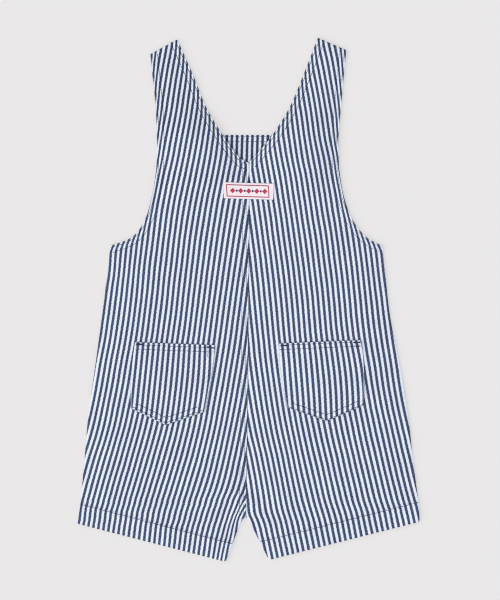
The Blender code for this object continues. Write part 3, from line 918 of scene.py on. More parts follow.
BIB_REPEAT = 4.85
BIB_GRAIN = straight_grain(-1.4, 144.7, 1.8, BIB_REPEAT)
print("stripes along the bib's top edge:", round(2 * BIB_SECTIONS[-1].half_width / BIB_REPEAT))

# %% The bib's outline and rows of stitching
BIB_COLUMNS = 120
BIB_FINE = 6
BIB_ROWS = (1.6, 6.4)  # mm below the top edge
BIB_EDGE = np.array(((-60.0, BIB_TOP_Y), (60.0, BIB_TOP_Y)))


def bib_edge(half):
    above = [(s.half_width * half.sign, s.y) for s in BIB_SECTIONS]
    waist = place_at(half.outer, WAIST_SEAM_Y + SEWN_GAP / 2)
    steps = [2 * BIB_FINE] + [s.rows * BIB_FINE for s in BIB_SECTIONS]
    return curve_through([waist, half.armhole[0]] + above, {1}, steps)


BIB_UNDER_ROWS = [BIB_EDGE - (0.0, inset) for inset in BIB_ROWS]
for half in HALVES:
    edge = bib_edge(half)[2 * BIB_FINE + 1 :]
    insets = [getattr(row, half.name) for row in BACK_ROWS if row.edge == "armhole"]
    BIB_UNDER_ROWS += [offset_line(edge, inset, -half.sign) for inset in insets]
print(f"the bib has {len(BIB_UNDER_ROWS)} rows, and its waist is {2 * bib_edge(RIGHT)[0][0]:.0f} mm wide")

# %% Bib
BIB_SHADE = {"left": 2.4, "right": 3.8}  # mm from the back's neck edge, how far its painted shadow reaches on the bib
SHADE_FROM = 0.8
BIB_BASE_SHADE = 0.3  # painted shade over all of the bib, which lies a layer lower than the back


def bib_top(places):
    return button_lift(places) + CLOTH + pressed(places, BIB_EDGE, BIB_ROWS, turned=False)


def bib_underside(places):
    curl, reach = SEAM_CURL
    waist = curl * (1 - smooth((places[:, 1] - WAIST_SEAM_Y) / reach))
    return button_lift(places) + waist + pressed_below(places, BIB_UNDER_ROWS)


def bib_painted_shade(places):
    """Below 0 everywhere: painted shade, strongest along the folded top, and a painted shadow where the
    back's neck edge lies on the bib.
    """
    under_neck = [
        1 - smooth((distance(places, half.neck) - SHADE_FROM) / BIB_SHADE[half.name]) for half in HALVES
    ]
    return -np.maximum(BIB_BASE_SHADE, FOLD_SHADE * np.max([folded(places, BIB_EDGE), *under_neck], axis=0))


dressed["bib"] = cloth_piece(
    "bib_cloth",
    lay_rows(bib_edge(LEFT), bib_edge(RIGHT), BIB_COLUMNS),
    bib_underside,
    bib_top,
    BIB_GRAIN,
    worn=bib_painted_shade,
)

# %% [markdown]
# ## The front ends of the straps
# Each strap comes over the shoulder and lies on the inside of the bib, where it is buttoned. It is a
# straight band of the same cloth as the back, so two edges and an even grid are enough, and its stripes
# run along it.

# %% Straps
STRAP_COLUMNS = 32
STRAP_ROWS = 90
STRAP_INSETS = (1.5, 6.0)  # of its two rows of stitching along each edge
SHOULDER_CURL = (0.2, 2.0)  # how high the shoulder's fold curls up, and over which width


def strap_edges(half):
    """The outer and the inner edge, from the end on the bib up to the shoulder."""
    end, side = STRAP_END * mirror_of(half), STRAP_ACROSS * mirror_of(half) * STRAP_WIDTH / 2
    share = np.linspace(0, 1, STRAP_ROWS + 1)[:, None]
    ends = ((end + side, half.outer[-1]), (end - side, half.inner[-1]))
    return [low * (1 - share) + high * share for low, high in ends]


def strap_rows(half):
    outer, inner = strap_edges(half)
    return [
        offset_line(edge, inset, side)
        for edge, side in ((outer, -half.sign), (inner, half.sign))
        for inset in STRAP_INSETS
    ]


def strap_underside(places, half):
    height, reach = SHOULDER_CURL
    curl = height * beside(places, half.shoulder, reach)
    return bib_lift(places) + button_lift(places) + curl + pressed_below(places, strap_rows(half))


def strap(half):
    end, up = STRAP_END * mirror_of(half), STRAP_UP * mirror_of(half)
    across = np.array((up[1], -up[0]))
    return cloth_piece(
        f"strap_{half.name}_cloth",
        lay_rows(*strap_edges(half), STRAP_COLUMNS),
        lambda places: strap_underside(places, half),
        lambda places: bib_lift(places) + button_lift(places) + CLOTH,
        lambda places: np.column_stack(((places - end) @ across, (places - end) @ up)),
    )


for half in HALVES:
    dressed[f"strap_{half.name}"] = strap(half)

# %% [markdown]
# ## The patch pockets
# A patch pocket is cut on its own, turned in all round and sewn on top of the back, so its stripes don't
# quite match the stripes behind it. It could be cut out of a plane by its outline, but rows that are
# bent in the middle end in the pointed bottom by themselves, and stay even. The pocket stands on the
# back's own upper face, a hair's breadth above it, and it has a little air behind its middle.

# %% The cut of the pockets
PatchPocket = namedtuple(
    "PatchPocket", "outer_top inner_top outer_bottom inner_bottom tip top_rows bottom_rows grain"
)
POCKETS = {
    "left": PatchPocket(
        (-107.6, -39.7),
        (-31.9, -42.5),
        (-111.6, -102.1),
        (-42.1, -105.6),
        (-78.6, -118.0),
        (2.6, 6.5),
        (1.7, 6.2),
        straight_grain(-106.3, -56.7, 6.2, 4.97, bow=1.8),
    ),
    "right": PatchPocket(
        (106.9, -37.7),
        (29.0, -41.0),
        (109.3, -99.2),
        (36.6, -101.4),
        (74.3, -114.2),
        (1.7, 5.7),
        (0.8, 5.2),
        straight_grain(33.2, -56.7, -4.6, 5.17, bow=2.2),
    ),
}
POCKET_ROWS, POCKET_COLUMNS = 66, 72
POCKET_BOW = 1.5  # the sides bulge outwards by this much


def pocket_corners(cut):
    return [np.array(corner) for corner in cut[:5]]


def pocket_rows(cut):
    """Rows that are bent in the middle, so that the last one is the pointed bottom edge."""
    outer_top, inner_top, outer_bottom, inner_bottom, tip = pocket_corners(cut)
    share = np.linspace(0, 1, POCKET_ROWS + 1)[:, None]
    bow = unit(outer_top - inner_top) * POCKET_BOW * 4 * share * (1 - share)
    outer = outer_top * (1 - share) + outer_bottom * share + bow
    inner = inner_top * (1 - share) + inner_bottom * share - bow
    middle = (outer_top + inner_top) / 2 * (1 - share) + tip * share
    near = lay_rows(outer, middle, POCKET_COLUMNS // 2)
    return np.concatenate((near, lay_rows(middle, inner, POCKET_COLUMNS // 2)[:, 1:]), axis=1)


for name, cut in POCKETS.items():
    outer_top, inner_top, _, _, tip = pocket_corners(cut)
    deep = np.linalg.norm((outer_top + inner_top) / 2 - tip)
    print(f"{name} pocket: {math.dist(outer_top, inner_top):.0f} mm wide and {deep:.0f} mm deep")

# %% The two faces of a pocket
POCKET_GAP = 0.12
POCKET_PUFF = 0.9  # air behind the middle of a pocket
POCKET_HEM, POCKET_HEM_STEP = 7.9, 0.3  # the mouth is turned in this far, and that much thicker
POCKET_HEM_GROOVE = 0.8  # past the end of the turning the cloth is pressed down


def pocket_underside(places, half, cut):
    outer_top, inner_top, outer_bottom, inner_bottom, _ = pocket_corners(cut)
    centre = (outer_top + inner_top + outer_bottom + inner_bottom) / 4
    half_width = np.linalg.norm(outer_top - inner_top) / 2
    puff = POCKET_PUFF * (1 - smooth(np.linalg.norm(places - centre, axis=1) / half_width))
    return back_top(places, half) + POCKET_GAP + puff


def pocket_top(places, half, cut):
    outer_top, inner_top, outer_bottom, inner_bottom, tip = pocket_corners(cut)
    height = pocket_underside(places, half, cut) + CLOTH
    mouth, bottom = np.array((outer_top, inner_top)), np.array((outer_bottom, tip, inner_bottom))
    height += pressed(places, mouth, cut.top_rows, turned=False)
    from_mouth = distance(places, mouth)
    height += POCKET_HEM_STEP * (1 - smooth(from_mouth - POCKET_HEM))
    height -= GROOVE_DEPTH * bell(from_mouth - POCKET_HEM - POCKET_HEM_GROOVE, GROOVE_WIDTH)
    return height + pressed(places, bottom, cut.bottom_rows, turned=False)


# %% Wear and grain of a pocket
POCKET_WEAR, POCKET_WEAR_WIDTH = 0.35, 1.5  # how much blue is rubbed off along the sides
POCKET_WORN_DOWN_TO, POCKET_WORN_FADE = -80.0, 8.0
POCKET_PULL, POCKET_PULL_REACH = 1.5, 1.8  # below that the right-hand side is turned in a little further


def pocket_sides(cut):
    """The left-hand and the right-hand side, as they are seen from above."""
    rows = pocket_rows(cut)
    return sorted((rows[::6, 0], rows[::6, -1]), key=lambda side: side[0, 0])


def pocket_wear(places, cut):
    """Above 0 along both sides, where the blue is rubbed off, except low down on the side to the right."""
    near_left, near_right = [beside(places, side, POCKET_WEAR_WIDTH) for side in pocket_sides(cut)]
    high_up = smooth((places[:, 1] - POCKET_WORN_DOWN_TO) / POCKET_WORN_FADE)
    return POCKET_WEAR * np.maximum(near_left, near_right * high_up)


def pocket_grain(places, cut):
    near = beside(places, pocket_sides(cut)[1], POCKET_PULL_REACH)
    low_down = 1 - smooth((places[:, 1] - POCKET_WORN_DOWN_TO) / POCKET_WORN_FADE)
    return cut.grain(places) + np.outer(POCKET_PULL * near * low_down, (1, 0))


# %% Pockets
def pocket(half):
    cut = POCKETS[half.name]
    return cloth_piece(
        f"pocket_{half.name}_cloth",
        pocket_rows(cut),
        lambda places: pocket_underside(places, half, cut),
        lambda places: pocket_top(places, half, cut),
        lambda places: pocket_grain(places, cut),
        worn=lambda places: pocket_wear(places, cut),
    )


for half in HALVES:
    dressed[f"pocket_{half.name}"] = pocket(half)

# %% [markdown]
# ## The neck label
# The label is a white woven tape. Real ones carry words, but this one has a plain woven pattern: a thin
# red frame, and in it a row of red diamonds and blue dots. They could be small pieces of mesh, but a woven
# pattern is flat, so the material draws it from distances on the label's own UV map.

# %% Woven label tape
LABEL_WIDTH, LABEL_HEIGHT = 47.0, 15.2
FRAME_HALF_WIDTH, FRAME_HALF_HEIGHT, FRAME_LINE = 19.9, 5.4, 1.0
FRAME_SHIFT, FRAME_SKEW = -0.95, 0.09  # the frame sits a little to the left and leans
DIAMOND_PITCH, DIAMOND_HALF = 7.6, 2.6
DOT_RADIUS = 1.1
TAPE_THREADS = 0.8  # mm, the pitch of the weave, drawn coarser than the real 0.2 mm so that it shows
TAPE_DARK, TAPE_LIGHT = "#DDD0D8", "#EFE3EA"
FRAME_RED, DIAMOND_RED, DOT_BLUE = "#A8485C", "#B02A45", "#2F4679"


def label_tape():
    """Damask label tape: fine bright polyester yarns, with a soft sheen and the pattern woven in."""
    material, tree = new_material("woven_label_tape")
    u, v, _ = add(tree, "SeparateXYZ", [add(tree, "UVMap", uv_map="cloth")[0]])
    across = add(tree, "Math", [u, 1 / MM], operation="MULTIPLY")[0]
    up = add(tree, "Math", [v, 1 / MM], operation="MULTIPLY")[0]
    from_middle = add(tree, "Math", [up], operation="ABSOLUTE")[0]
    from_centre = add(tree, "Math", [across], operation="ABSOLUTE")[0]

    # the frame: within a line's width of a smaller rectangle
    moved = add(tree, "Math", [across, FRAME_SHIFT], operation="SUBTRACT")[0]
    leaning = add(tree, "Math", [up, FRAME_SKEW, moved], operation="MULTIPLY_ADD")[0]
    from_upright = add(tree, "Math", [leaning], operation="ABSOLUTE")[0]
    to_side = add(tree, "Math", [FRAME_HALF_WIDTH, from_upright], operation="SUBTRACT")[0]
    to_top = add(tree, "Math", [FRAME_HALF_HEIGHT, from_middle], operation="SUBTRACT")[0]
    nearer = add(tree, "Math", [to_side, to_top], operation="MINIMUM")[0]
    to_frame = add(tree, "Math", [nearer], operation="ABSOLUTE")[0]
    on_frame = add(tree, "Math", [to_frame, FRAME_LINE / 2], operation="LESS_THAN")[0]

    # five diamonds with a dot between each two
    from_diamond = add(tree, "Math", [across, DIAMOND_PITCH / 2], operation="PINGPONG")[0]
    both_ways = add(tree, "Math", [from_diamond, from_middle], operation="ADD")[0]
    in_diamond = add(tree, "Math", [both_ways, DIAMOND_HALF], operation="LESS_THAN")[0]
    in_five = add(tree, "Math", [from_centre, 2.5 * DIAMOND_PITCH], operation="LESS_THAN")[0]
    diamond = add(tree, "Math", [in_diamond, in_five], operation="MULTIPLY")[0]
    from_dot = add(tree, "Math", [DIAMOND_PITCH / 2, from_diamond], operation="SUBTRACT")[0]
    off_dot = add(tree, "CombineXYZ", [from_dot, up])[0]
    reach = add(tree, "VectorMath", [off_dot], operation="LENGTH")["Value"]
    in_dot = add(tree, "Math", [reach, DOT_RADIUS], operation="LESS_THAN")[0]
    in_four = add(tree, "Math", [from_centre, 2.2 * DIAMOND_PITCH], operation="LESS_THAN")[0]
    dot = add(tree, "Math", [in_dot, in_four], operation="MULTIPLY")[0]

    # the weave, and the colours in it
    turns = 2 * math.pi / TAPE_THREADS
    turns_up = add(tree, "Math", [up, turns], operation="MULTIPLY")[0]
    turns_across = add(tree, "Math", [across, turns], operation="MULTIPLY")[0]
    weft = add(tree, "Math", [turns_up], operation="SINE")[0]
    warp = add(tree, "Math", [turns_across], operation="SINE")[0]
    weave = add(tree, "Math", [weft, warp], operation="MULTIPLY")[0]
    shade = add(tree, "Math", [weave, 0.4, 0.5], operation="MULTIPLY_ADD", use_clamp=True)[0]
    whites = {"Factor": shade, "A": linear(TAPE_DARK), "B": linear(TAPE_LIGHT)}
    colour = add(tree, "Mix", whites, data_type="RGBA")["Result"]
    for place, dye in ((on_frame, FRAME_RED), (diamond, DIAMOND_RED), (dot, DOT_BLUE)):
        inks = {"Factor": place, "A": colour, "B": linear(dye)}
        colour = add(tree, "Mix", inks, data_type="RGBA")["Result"]
    bump = add(tree, "Bump", {"Height": weave, "Strength": 0.3, "Distance": 0.1 * MM})[0]
    look = {"Base Color": colour, "Roughness": 0.6, "Specular IOR Level": 0.35, "Normal": bump}
    finish_material(tree, look | {"Sheen Weight": 0.1})
    return material


tape = label_tape()
print(f"{tape.name}: {len(tape.node_tree.nodes)} nodes")

# %% Label
LABEL_WALL = 0.6
LABEL_CENTRE = np.array((0.2, 103.7))
LABEL_TILT = math.radians(-1.7)
LABEL_ROWS, LABEL_COLUMNS = 20, 60
LABEL_BRIDGE = 3.0  # the label spans the dip of the centre seam from this far on either side
LABEL_GAP = 0.12


def label():
    along = np.array((math.cos(LABEL_TILT), math.sin(LABEL_TILT)))
    up = np.array((-along[1], along[0]))
    share = np.linspace(-0.5, 0.5, LABEL_ROWS + 1)[:, None]
    middles = LABEL_CENTRE + up * LABEL_HEIGHT * share
    start, end = middles - along * LABEL_WIDTH / 2, middles + along * LABEL_WIDTH / 2

    def underside(places):
        aside = np.maximum(np.abs(places[:, 0]), LABEL_BRIDGE)
        left = back_top(np.column_stack((-aside, places[:, 1])), LEFT)
        right = back_top(np.column_stack((aside, places[:, 1])), RIGHT)
        return left + (right - left) * np.clip(0.5 + places[:, 0] / (2 * LABEL_BRIDGE), 0, 1) + LABEL_GAP

    return cloth_piece(
        "label_cloth",
        lay_rows(start, end, LABEL_COLUMNS),
        underside,
        lambda places: underside(places) + LABEL_WALL,
        lambda places: np.column_stack(((places - LABEL_CENTRE) @ along, (places - LABEL_CENTRE) @ up)),
        material=tape,
        bevel=0.2,
    )


dressed["label"] = label()

# %% [markdown]
# ## Stitching
# A lockstitch is a row of short thread loops, each sunk into the cloth at both ends. It could be a
# pattern in the material, but real stitches catch the light and cast shadows. One small stretched
# sphere for each shows that from any side, and all stitches of a piece are joined in one mesh. The
# rows follow the edges at a set inset, as the sewing machine's foot does.

# %% Sewing thread
THREAD_TWIST = 3.0  # mm, drawn this long because the real twist, about 0.5 mm, is too fine to show
THREAD_DARK, THREAD_LIGHT = "#131C3E", "#222F5C"


def sewing_thread():
    """Spun polyester thread: a dark blue that the twist makes a little uneven, with a dull shine."""
    material, tree = new_material("twisted_polyester_thread")
    place = add(tree, "TexCoord")["Object"]
    wave = {"Vector": place, "Scale": 1 / (THREAD_TWIST * MM)}
    twist = add(tree, "TexWave", wave, bands_direction="DIAGONAL")[0]
    dyes = {"Factor": twist, "A": linear(THREAD_DARK), "B": linear(THREAD_LIGHT)}
    colour = add(tree, "Mix", dyes, data_type="RGBA")["Result"]
    finish_material(tree, {"Base Color": colour, "Roughness": 0.6, "Specular IOR Level": 0.4})
    return material


thread = sewing_thread()
print(f"{thread.name}: {len(thread.node_tree.nodes)} nodes")

# %% One row of stitches
THREAD, THICK_THREAD = 0.55, 0.66  # mm across, in a row that is pressed flat
THREAD_FLATNESS = 0.6  # how high it stands for each millimetre across
STITCH_PITCH = 3.0
STITCH_LENGTH = 3.4  # longer than the pitch, so that one stitch sinks in where the next comes out
PROUD, BELOW = 0.1, -0.1  # how far a stitch stands out, on the upper and the lower face, for its thickness


def along_line(line, pitch):
    """Evenly spaced places along a line, about pitch apart, with the line's direction at each."""
    steps = np.linalg.norm(np.diff(line, axis=0), axis=1)
    travelled = np.concatenate(([0.0], np.cumsum(steps)))
    count = max(round(travelled[-1] / pitch), 1)
    at = (np.arange(count) + 0.5) / count * travelled[-1]
    places = np.column_stack([np.interp(at, travelled, line[:, i]) for i in (0, 1)])
    ahead = np.column_stack([np.interp(at + 0.5, travelled, line[:, i]) for i in (0, 1)])
    behind = np.column_stack([np.interp(at - 0.5, travelled, line[:, i]) for i in (0, 1)])
    return places, ahead - behind


def sew(bm, line, height_at, pitch=STITCH_PITCH, length=STITCH_LENGTH, thick=THREAD, proud=PROUD):
    """Adds a row of stitches along a line. They stand above the height, or below it where proud is."""
    places, runs = along_line(line, pitch)
    runs /= np.linalg.norm(runs, axis=1)[:, None]
    heights = height_at(places)
    rises = height_at(places + runs) - heights
    for place, run, height, rise in zip(places, runs, heights, rises):
        forward = Vector((*run, rise)).normalized()
        side = Vector((-run[1], run[0], 0.0))
        turn = Matrix((forward, side, forward.cross(side))).transposed().to_4x4()
        size = Matrix.Diagonal((length / 2, thick / 2, THREAD_FLATNESS * thick / 2, 1.0))
        where = Matrix.Translation((*place, height + proud * thick))
        bmesh.ops.create_uvsphere(bm, u_segments=6, v_segments=4, radius=1.0, matrix=where @ turn @ size)


print(f"a row along one armhole has {len(along_line(RIGHT.armhole, STITCH_PITCH)[0])} stitches")

# %% [markdown]
# ## Where the rows run
# The neck, the armholes, the bib and the straps have two rows along each edge, and the hems have one. The
# centre seam is flat-felled: it is folded over to the left and sewn down there with two rows. The pockets
# have two along the top and the bottom, but their sides are sewn from within, so that no row shows
# there. Each row could be drawn by hand, but a line that is offset from the edge keeps its distance by
# itself. Rows on the undersides stand below their cloth instead of above it.

# %% Rows on the fronts and the straps
def sew_front(half):
    bm = bmesh.new()
    sew(bm, half.stitching, lambda places: front_underside(places, half), proud=BELOW)
    return in_collection(f"front_{half.name}_stitches", bm, thread)


def sew_strap(half):
    bm = bmesh.new()
    for line in strap_rows(half):
        sew(bm, line, lambda places: strap_underside(places, half), proud=BELOW)
    return in_collection(f"strap_{half.name}_stitches", bm, thread)


sewn = {}
for half in HALVES:
    sewn[f"front_{half.name}"] = sew_front(half)
    sewn[f"strap_{half.name}"] = sew_strap(half)
    print(f"{half.name} strap: {len(sewn[f'strap_{half.name}'].data.polygons)} faces of stitches")

# %% [markdown]
# ## Bartacks and zigzags
# A bartack, a tight bar of stitches across, holds each place that is pulled: the pocket mouths and the
# point of the neck. Two such bars edge each buttonhole. A zigzag holds two of the pocket corners besides.
# A machine sews them as one pattern, and here they are the same stitch again, set closer and turned.

# %% Bartacks and zigzags
Bartack = namedtuple("Bartack", "x1 y1 x2 y2")
POCKET_BARTACKS = {
    "left": (Bartack(-106.3, -41.6, -100.0, -41.8), Bartack(-39.0, -44.2, -32.2, -45.2)),
    "right": (Bartack(99.9, -39.9, 105.7, -39.6), Bartack(30.9, -42.8, 37.3, -42.5)),
}
Zigzag = namedtuple("Zigzag", "x1 y1 x2 y2 width")
POCKET_ZIGZAGS = {
    "left": (Zigzag(-38.5, -46.5, -38.9, -54.0, 1.3), Zigzag(-35.5, -47.0, -35.9, -53.0, 1.3)),
    "right": (Zigzag(100.2, -43.3, 105.8, -43.0, 3.4),),
}
NECK_BARTACK = Bartack(-2.4, 127.8, -3.2, 120.8)
BARTACK_WIDTH = 2.1
BARTACK_PITCH = 0.55
ZIGZAG_STEP = 0.9
BARTACK_THREAD, ZIGZAG_THREAD = 0.7, 0.4


def places_between(ends, width, step):
    """Even places from one end to the other, and half the width across that line."""
    start, end = np.array((ends.x1, ends.y1)), np.array((ends.x2, ends.y2))
    run = unit(end - start)
    count = round(np.linalg.norm(end - start) / step)
    middles = [start + (end - start) * i / count for i in range(count + 1)]
    return middles, np.array((run[1], -run[0])) * width / 2


def one_stitch(bm, line, height_at, length, thick=THREAD, proud=PROUD):
    sew(bm, line, height_at, 2 * length, length, thick, proud)


def bartack(bm, ends, height_at, proud=PROUD):
    """Stitches side by side, each across the line between two ends."""
    middles, across = places_between(ends, BARTACK_WIDTH, BARTACK_PITCH)
    for middle in middles:
        bar = np.array((middle - across, middle + across))
        sew(bm, bar, height_at, BARTACK_WIDTH, BARTACK_WIDTH, BARTACK_THREAD, proud)


def zigzag(bm, ends, height_at):
    middles, across = places_between(ends, ends.width, ZIGZAG_STEP)
    turns = [middle + across * (-1) ** i for i, middle in enumerate(middles)]
    for leg in zip(turns, turns[1:]):
        one_stitch(bm, np.array(leg), height_at, math.dist(*leg), ZIGZAG_THREAD)


bars, _ = places_between(NECK_BARTACK, BARTACK_WIDTH, BARTACK_PITCH)
print(f"the bartack at the neck has {len(bars)} bars")


# %% Rows on the back
def sew_back(half):
    def top(places):
        return back_top(places, half)

    bm = bmesh.new()
    for row in BACK_ROWS:
        line, inset = getattr(half, row.edge), getattr(row, half.name)
        inward = half.sign if row.edge == "neck" else -half.sign
        sew(bm, offset_line(line, inset, inward), top, thick=getattr(row, half.name + "_thread"))
    sew(bm, half.stitching, top)
    if half is LEFT:
        for inset in FELLED_ROWS:
            sew(bm, offset_line(half.centre_seam, inset, -1), top, thick=FELLED_THREAD)
        bartack(bm, NECK_BARTACK, top)
    return in_collection(f"back_{half.name}_stitches", bm, thread)


for half in HALVES:
    sewn[f"back_{half.name}"] = sew_back(half)
    print(f"{half.name} back: {len(sewn[f'back_{half.name}'].data.polygons)} faces of stitches")

# %% Rows on the pockets
POINT_LENGTH = 38.0  # mm along a bottom edge; a row is shorter by its inset for as much
POINT_STEEPNESS = 1.1  # and lies this much further up the slanting edges


def sew_pocket(half):
    cut = POCKETS[half.name]
    outer_top, inner_top, outer_bottom, inner_bottom, tip = pocket_corners(cut)

    def top(places):
        return pocket_top(places, half, cut)

    down = unit(outer_bottom - outer_top)
    bm = bmesh.new()
    for inset in cut.top_rows:
        sew(bm, np.array((outer_top, inner_top)) + down * inset, top)
    for inset in cut.bottom_rows:
        share = 1 - inset / POINT_LENGTH
        for corner in (outer_bottom, inner_bottom):
            row = np.array((tip + (corner - tip) * share, tip)) - down * inset * POINT_STEEPNESS
            sew(bm, row, top, thick=THICK_THREAD)
    for ends in POCKET_BARTACKS[half.name]:
        bartack(bm, ends, top)
    for ends in POCKET_ZIGZAGS[half.name]:
        zigzag(bm, ends, top)
    return in_collection(f"pocket_{half.name}_stitches", bm, thread)


for half in HALVES:
    sewn[f"pocket_{half.name}"] = sew_pocket(half)
    print(f"{half.name} pocket: {len(sewn[f'pocket_{half.name}'].data.polygons)} faces of stitches")

# %% Rows on the bib and the buttons
BIB_THREADS = (FELLED_THREAD, THICK_THREAD)
BIB_ROW_END = 56.0
# One stitch of the bib's top row has slipped up.
SLIPPED_STITCH = np.array(((19.3, 155.2), (23.7, 156.5)))
SLIPPED_LENGTH = 4.6
BUTTONHOLE_LENGTH, BUTTONHOLE_EDGE = 18.0, 1.1
BUTTON_FACE = 0.6  # height of the button's sunken face
BUTTON_BAR = 4.0  # length of the thread over two holes


def sew_bib():
    bm = bmesh.new()
    for inset, thick in zip(BIB_ROWS, BIB_THREADS):
        y = BIB_TOP_Y - inset
        sew(bm, np.array(((-BIB_ROW_END, y), (BIB_ROW_END, y))), bib_top, thick=thick)
    one_stitch(bm, SLIPPED_STITCH, bib_top, SLIPPED_LENGTH)
    for line in BIB_UNDER_ROWS:
        sew(bm, line, bib_underside, proud=BELOW)
    for half in HALVES:
        ahead = STRAP_UP * mirror_of(half) * BUTTONHOLE_LENGTH / 2
        for aside in (-BUTTONHOLE_EDGE, BUTTONHOLE_EDGE):
            middle = (BUTTON_CENTRE + STRAP_ACROSS * aside) * mirror_of(half)
            bartack(bm, Bartack(*(middle - ahead), *(middle + ahead)), bib_underside, proud=BELOW)
    return in_collection("bib_stitches", bm, thread)


def sew_button(half):
    """Two bars of thread on the button's sunken face, from hole to hole."""
    bm = bmesh.new()
    x, y = BUTTON_CENTRE * (half.sign, 1)
    for above in (-BUTTON_HOLE_SPACING, BUTTON_HOLE_SPACING):
        bar = np.array(((x - BUTTON_HOLE_SPACING, y + above), (x + BUTTON_HOLE_SPACING, y + above)))
        one_stitch(
            bm, bar, lambda places: np.full(len(places), BUTTON_FACE), BUTTON_BAR, BARTACK_THREAD, BELOW
        )
    return in_collection(f"button_{half.name}_thread", bm, thread)


sewn["bib"] = sew_bib()
for half in HALVES:
    sewn[f"button_{half.name}"] = sew_button(half)
print("stitch faces:", sum(len(piece.data.polygons) for piece in sewn.values()))

# %% [markdown]
# ## The buttons
# The buttons lie face down below the bib and keep their solids, which are turned and drilled already. Cast
# resin is smooth and slightly cloudy, so it gets a low roughness and a soft, uneven tone.

# %% Cast resin
RESIN_CLOUD = 4.0  # mm, the size of its clouds
RESIN_DARK, RESIN_LIGHT = "#D9D6CC", "#F1EFE8"


def button_resin():
    """Cast polyester resin, tumbled smooth: off-white, a little cloudy, with a soft shine."""
    material, tree = new_material("cast_polyester_resin")
    place = add(tree, "TexCoord")["Object"]
    cloud = add(tree, "TexNoise", {"Vector": place, "Scale": 1 / (RESIN_CLOUD * MM), "Detail": 3.0})[0]
    tones = {"Factor": cloud, "A": linear(RESIN_DARK), "B": linear(RESIN_LIGHT)}
    colour = add(tree, "Mix", tones, data_type="RGBA")["Result"]
    bump = add(tree, "Bump", {"Height": cloud, "Strength": 0.1, "Distance": 0.1 * MM})[0]
    finish_material(tree, {"Base Color": colour, "Roughness": 0.3, "Coat Weight": 0.3, "Normal": bump})
    return material


resin = button_resin()
for half in HALVES:
    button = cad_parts[f"button_{half.name}"]
    button.data.materials.clear()
    button.data.materials.append(resin)
    print(f"{button.name}: {1000 * button.dimensions.x:.0f} mm across, in {resin.name}")

# %% [markdown]
# ## Fitting the pieces to the model
# Every piece rides on the root body, and the solid that it stands for is hidden. Cloth has no joints, so
# there is one body. A table gives each cut piece's flat size and area, and what it rests on.

# %% Ride and replace
Sheet = namedtuple("Sheet", "width length area rests_on")  # in metres and square metres
SHEETS = {
    "back": Sheet(0.162, 0.496, 0.0548, "front"),
    "front": Sheet(0.162, 0.248, 0.0345, ""),
    "strap": Sheet(0.027, 0.124, 0.0033, "bib"),
    "pocket": Sheet(0.080, 0.079, 0.0051, "back"),
    "bib": Sheet(0.265, 0.157, 0.0293, ""),
    "label": Sheet(0.047, 0.0152, None, "back_left"),
}
for node, piece in dressed.items():
    kind, _, side = node.partition("_")
    cut = SHEETS[kind]
    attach(piece, "root")
    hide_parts(node)
for piece in sewn.values():
    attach(piece, "root")
print(f"{len(dressed)} pieces of cloth and {len(sewn)} of stitches ride on the root")

# %% [markdown]
# ## Floor, light and camera
# The garment lies on a plain pale floor under one broad, soft light from the lower left, with an even
# fill from all round. A ring of lamps could do the same, but a sun with a wide angle and a white world
# are as soft with less to set. The floor is a light table: part of its brightness is its own glow, which
# keeps the shadows faint. The camera hangs far above and looks straight down.

# %% Floor
FLOOR_COLOUR, GLOW_COLOUR = "#DBD9DA", "#EAE8E9"
FLOOR_GLOW = 0.6  # the share of its brightness that is its own
FLOOR_Z = -0.05  # mm, so that the floor and the undersides that rest on it aren't in one plane
FLOOR_SIZE = 3.0 / MM
PAPER_GRAINS = 900.0  # for each metre

floor_bm = bmesh.new()
floor_place = Matrix.Translation((0.0, 0.0, FLOOR_Z))
bmesh.ops.create_grid(floor_bm, x_segments=1, y_segments=1, size=FLOOR_SIZE, matrix=floor_place)


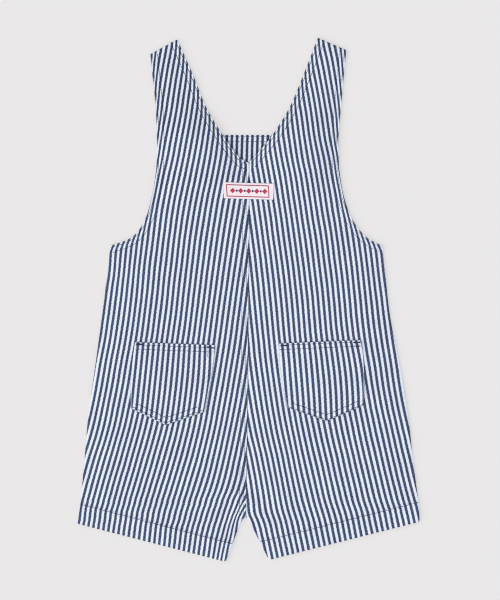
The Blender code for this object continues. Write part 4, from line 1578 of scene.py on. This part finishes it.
def matt_paper():
    """Matt white paper: it scatters light evenly, without a shine."""
    material, tree = new_material("matt_paper")
    place = add(tree, "TexCoord")["Object"]
    grain = add(tree, "TexNoise", {"Vector": place, "Scale": PAPER_GRAINS})[0]
    bump = add(tree, "Bump", {"Height": grain, "Strength": 0.02, "Distance": 0.05 * MM})[0]
    look = {"Roughness": 0.95, "Specular IOR Level": 0.0, "Normal": bump}
    look["Base Color"] = [value * (1 - FLOOR_GLOW) for value in linear(FLOOR_COLOUR)[:3]] + [1.0]
    look |= {"Emission Color": linear(GLOW_COLOUR), "Emission Strength": FLOOR_GLOW}
    finish_material(tree, look)
    return material


floor = in_collection("floor", floor_bm, matt_paper())
print(f"floor: {floor.dimensions.x:.0f} m wide, its top at {FLOOR_Z} mm")

# %% Light
SUN_STRENGTH = 2.55
SUN_SOFTNESS, SUN_DOWN, SUN_ACROSS = 100.0, 12.0, -32.0  # degrees
FILL_STRENGTH = 0.49

sun = bpy.data.lights.new("soft_sun", "SUN")
sun.energy, sun.angle = SUN_STRENGTH, math.radians(SUN_SOFTNESS)
sun_object = bpy.data.objects.new("soft_sun", sun)
sun_object.rotation_euler = (math.radians(SUN_DOWN), math.radians(SUN_ACROSS), 0.0)
bpy.context.scene.collection.objects.link(sun_object)

world = bpy.data.worlds.new("even_fill")
world.use_nodes = True
background = world.node_tree.nodes["Background"]
background.inputs["Color"].default_value = (1.0, 1.0, 1.0, 1.0)
background.inputs["Strength"].default_value = FILL_STRENGTH
bpy.context.scene.world = world
print(f"light: a sun {SUN_SOFTNESS:.0f} degrees wide, and a fill of {FILL_STRENGTH}")

# %% Camera
CAMERA_HEIGHT = 2.5
VIEW_LENGTH = 0.570  # metres of floor along the picture's long side
VIEW_CENTRE = (0.0014, 0.0003)
PIXEL_FILTER = 1.1  # pixels wide

lens = bpy.data.cameras.new("overhead")
lens.sensor_width = 36.0
lens.lens = lens.sensor_width * CAMERA_HEIGHT / VIEW_LENGTH
camera = bpy.data.objects.new("overhead", lens)
camera.location = (*VIEW_CENTRE, CAMERA_HEIGHT)
bpy.context.scene.collection.objects.link(camera)
bpy.context.scene.camera = camera

bpy.context.scene.view_settings.view_transform = "Standard"
# A narrow pixel filter and a denoiser that trusts the colours as they are keep thread and weave crisp.
bpy.context.scene.cycles.filter_width = PIXEL_FILTER
bpy.context.scene.cycles.denoising_prefilter = "NONE"
print(f"camera: a {lens.lens:.0f} mm lens, {CAMERA_HEIGHT} m up, {VIEW_LENGTH} m of floor in view")
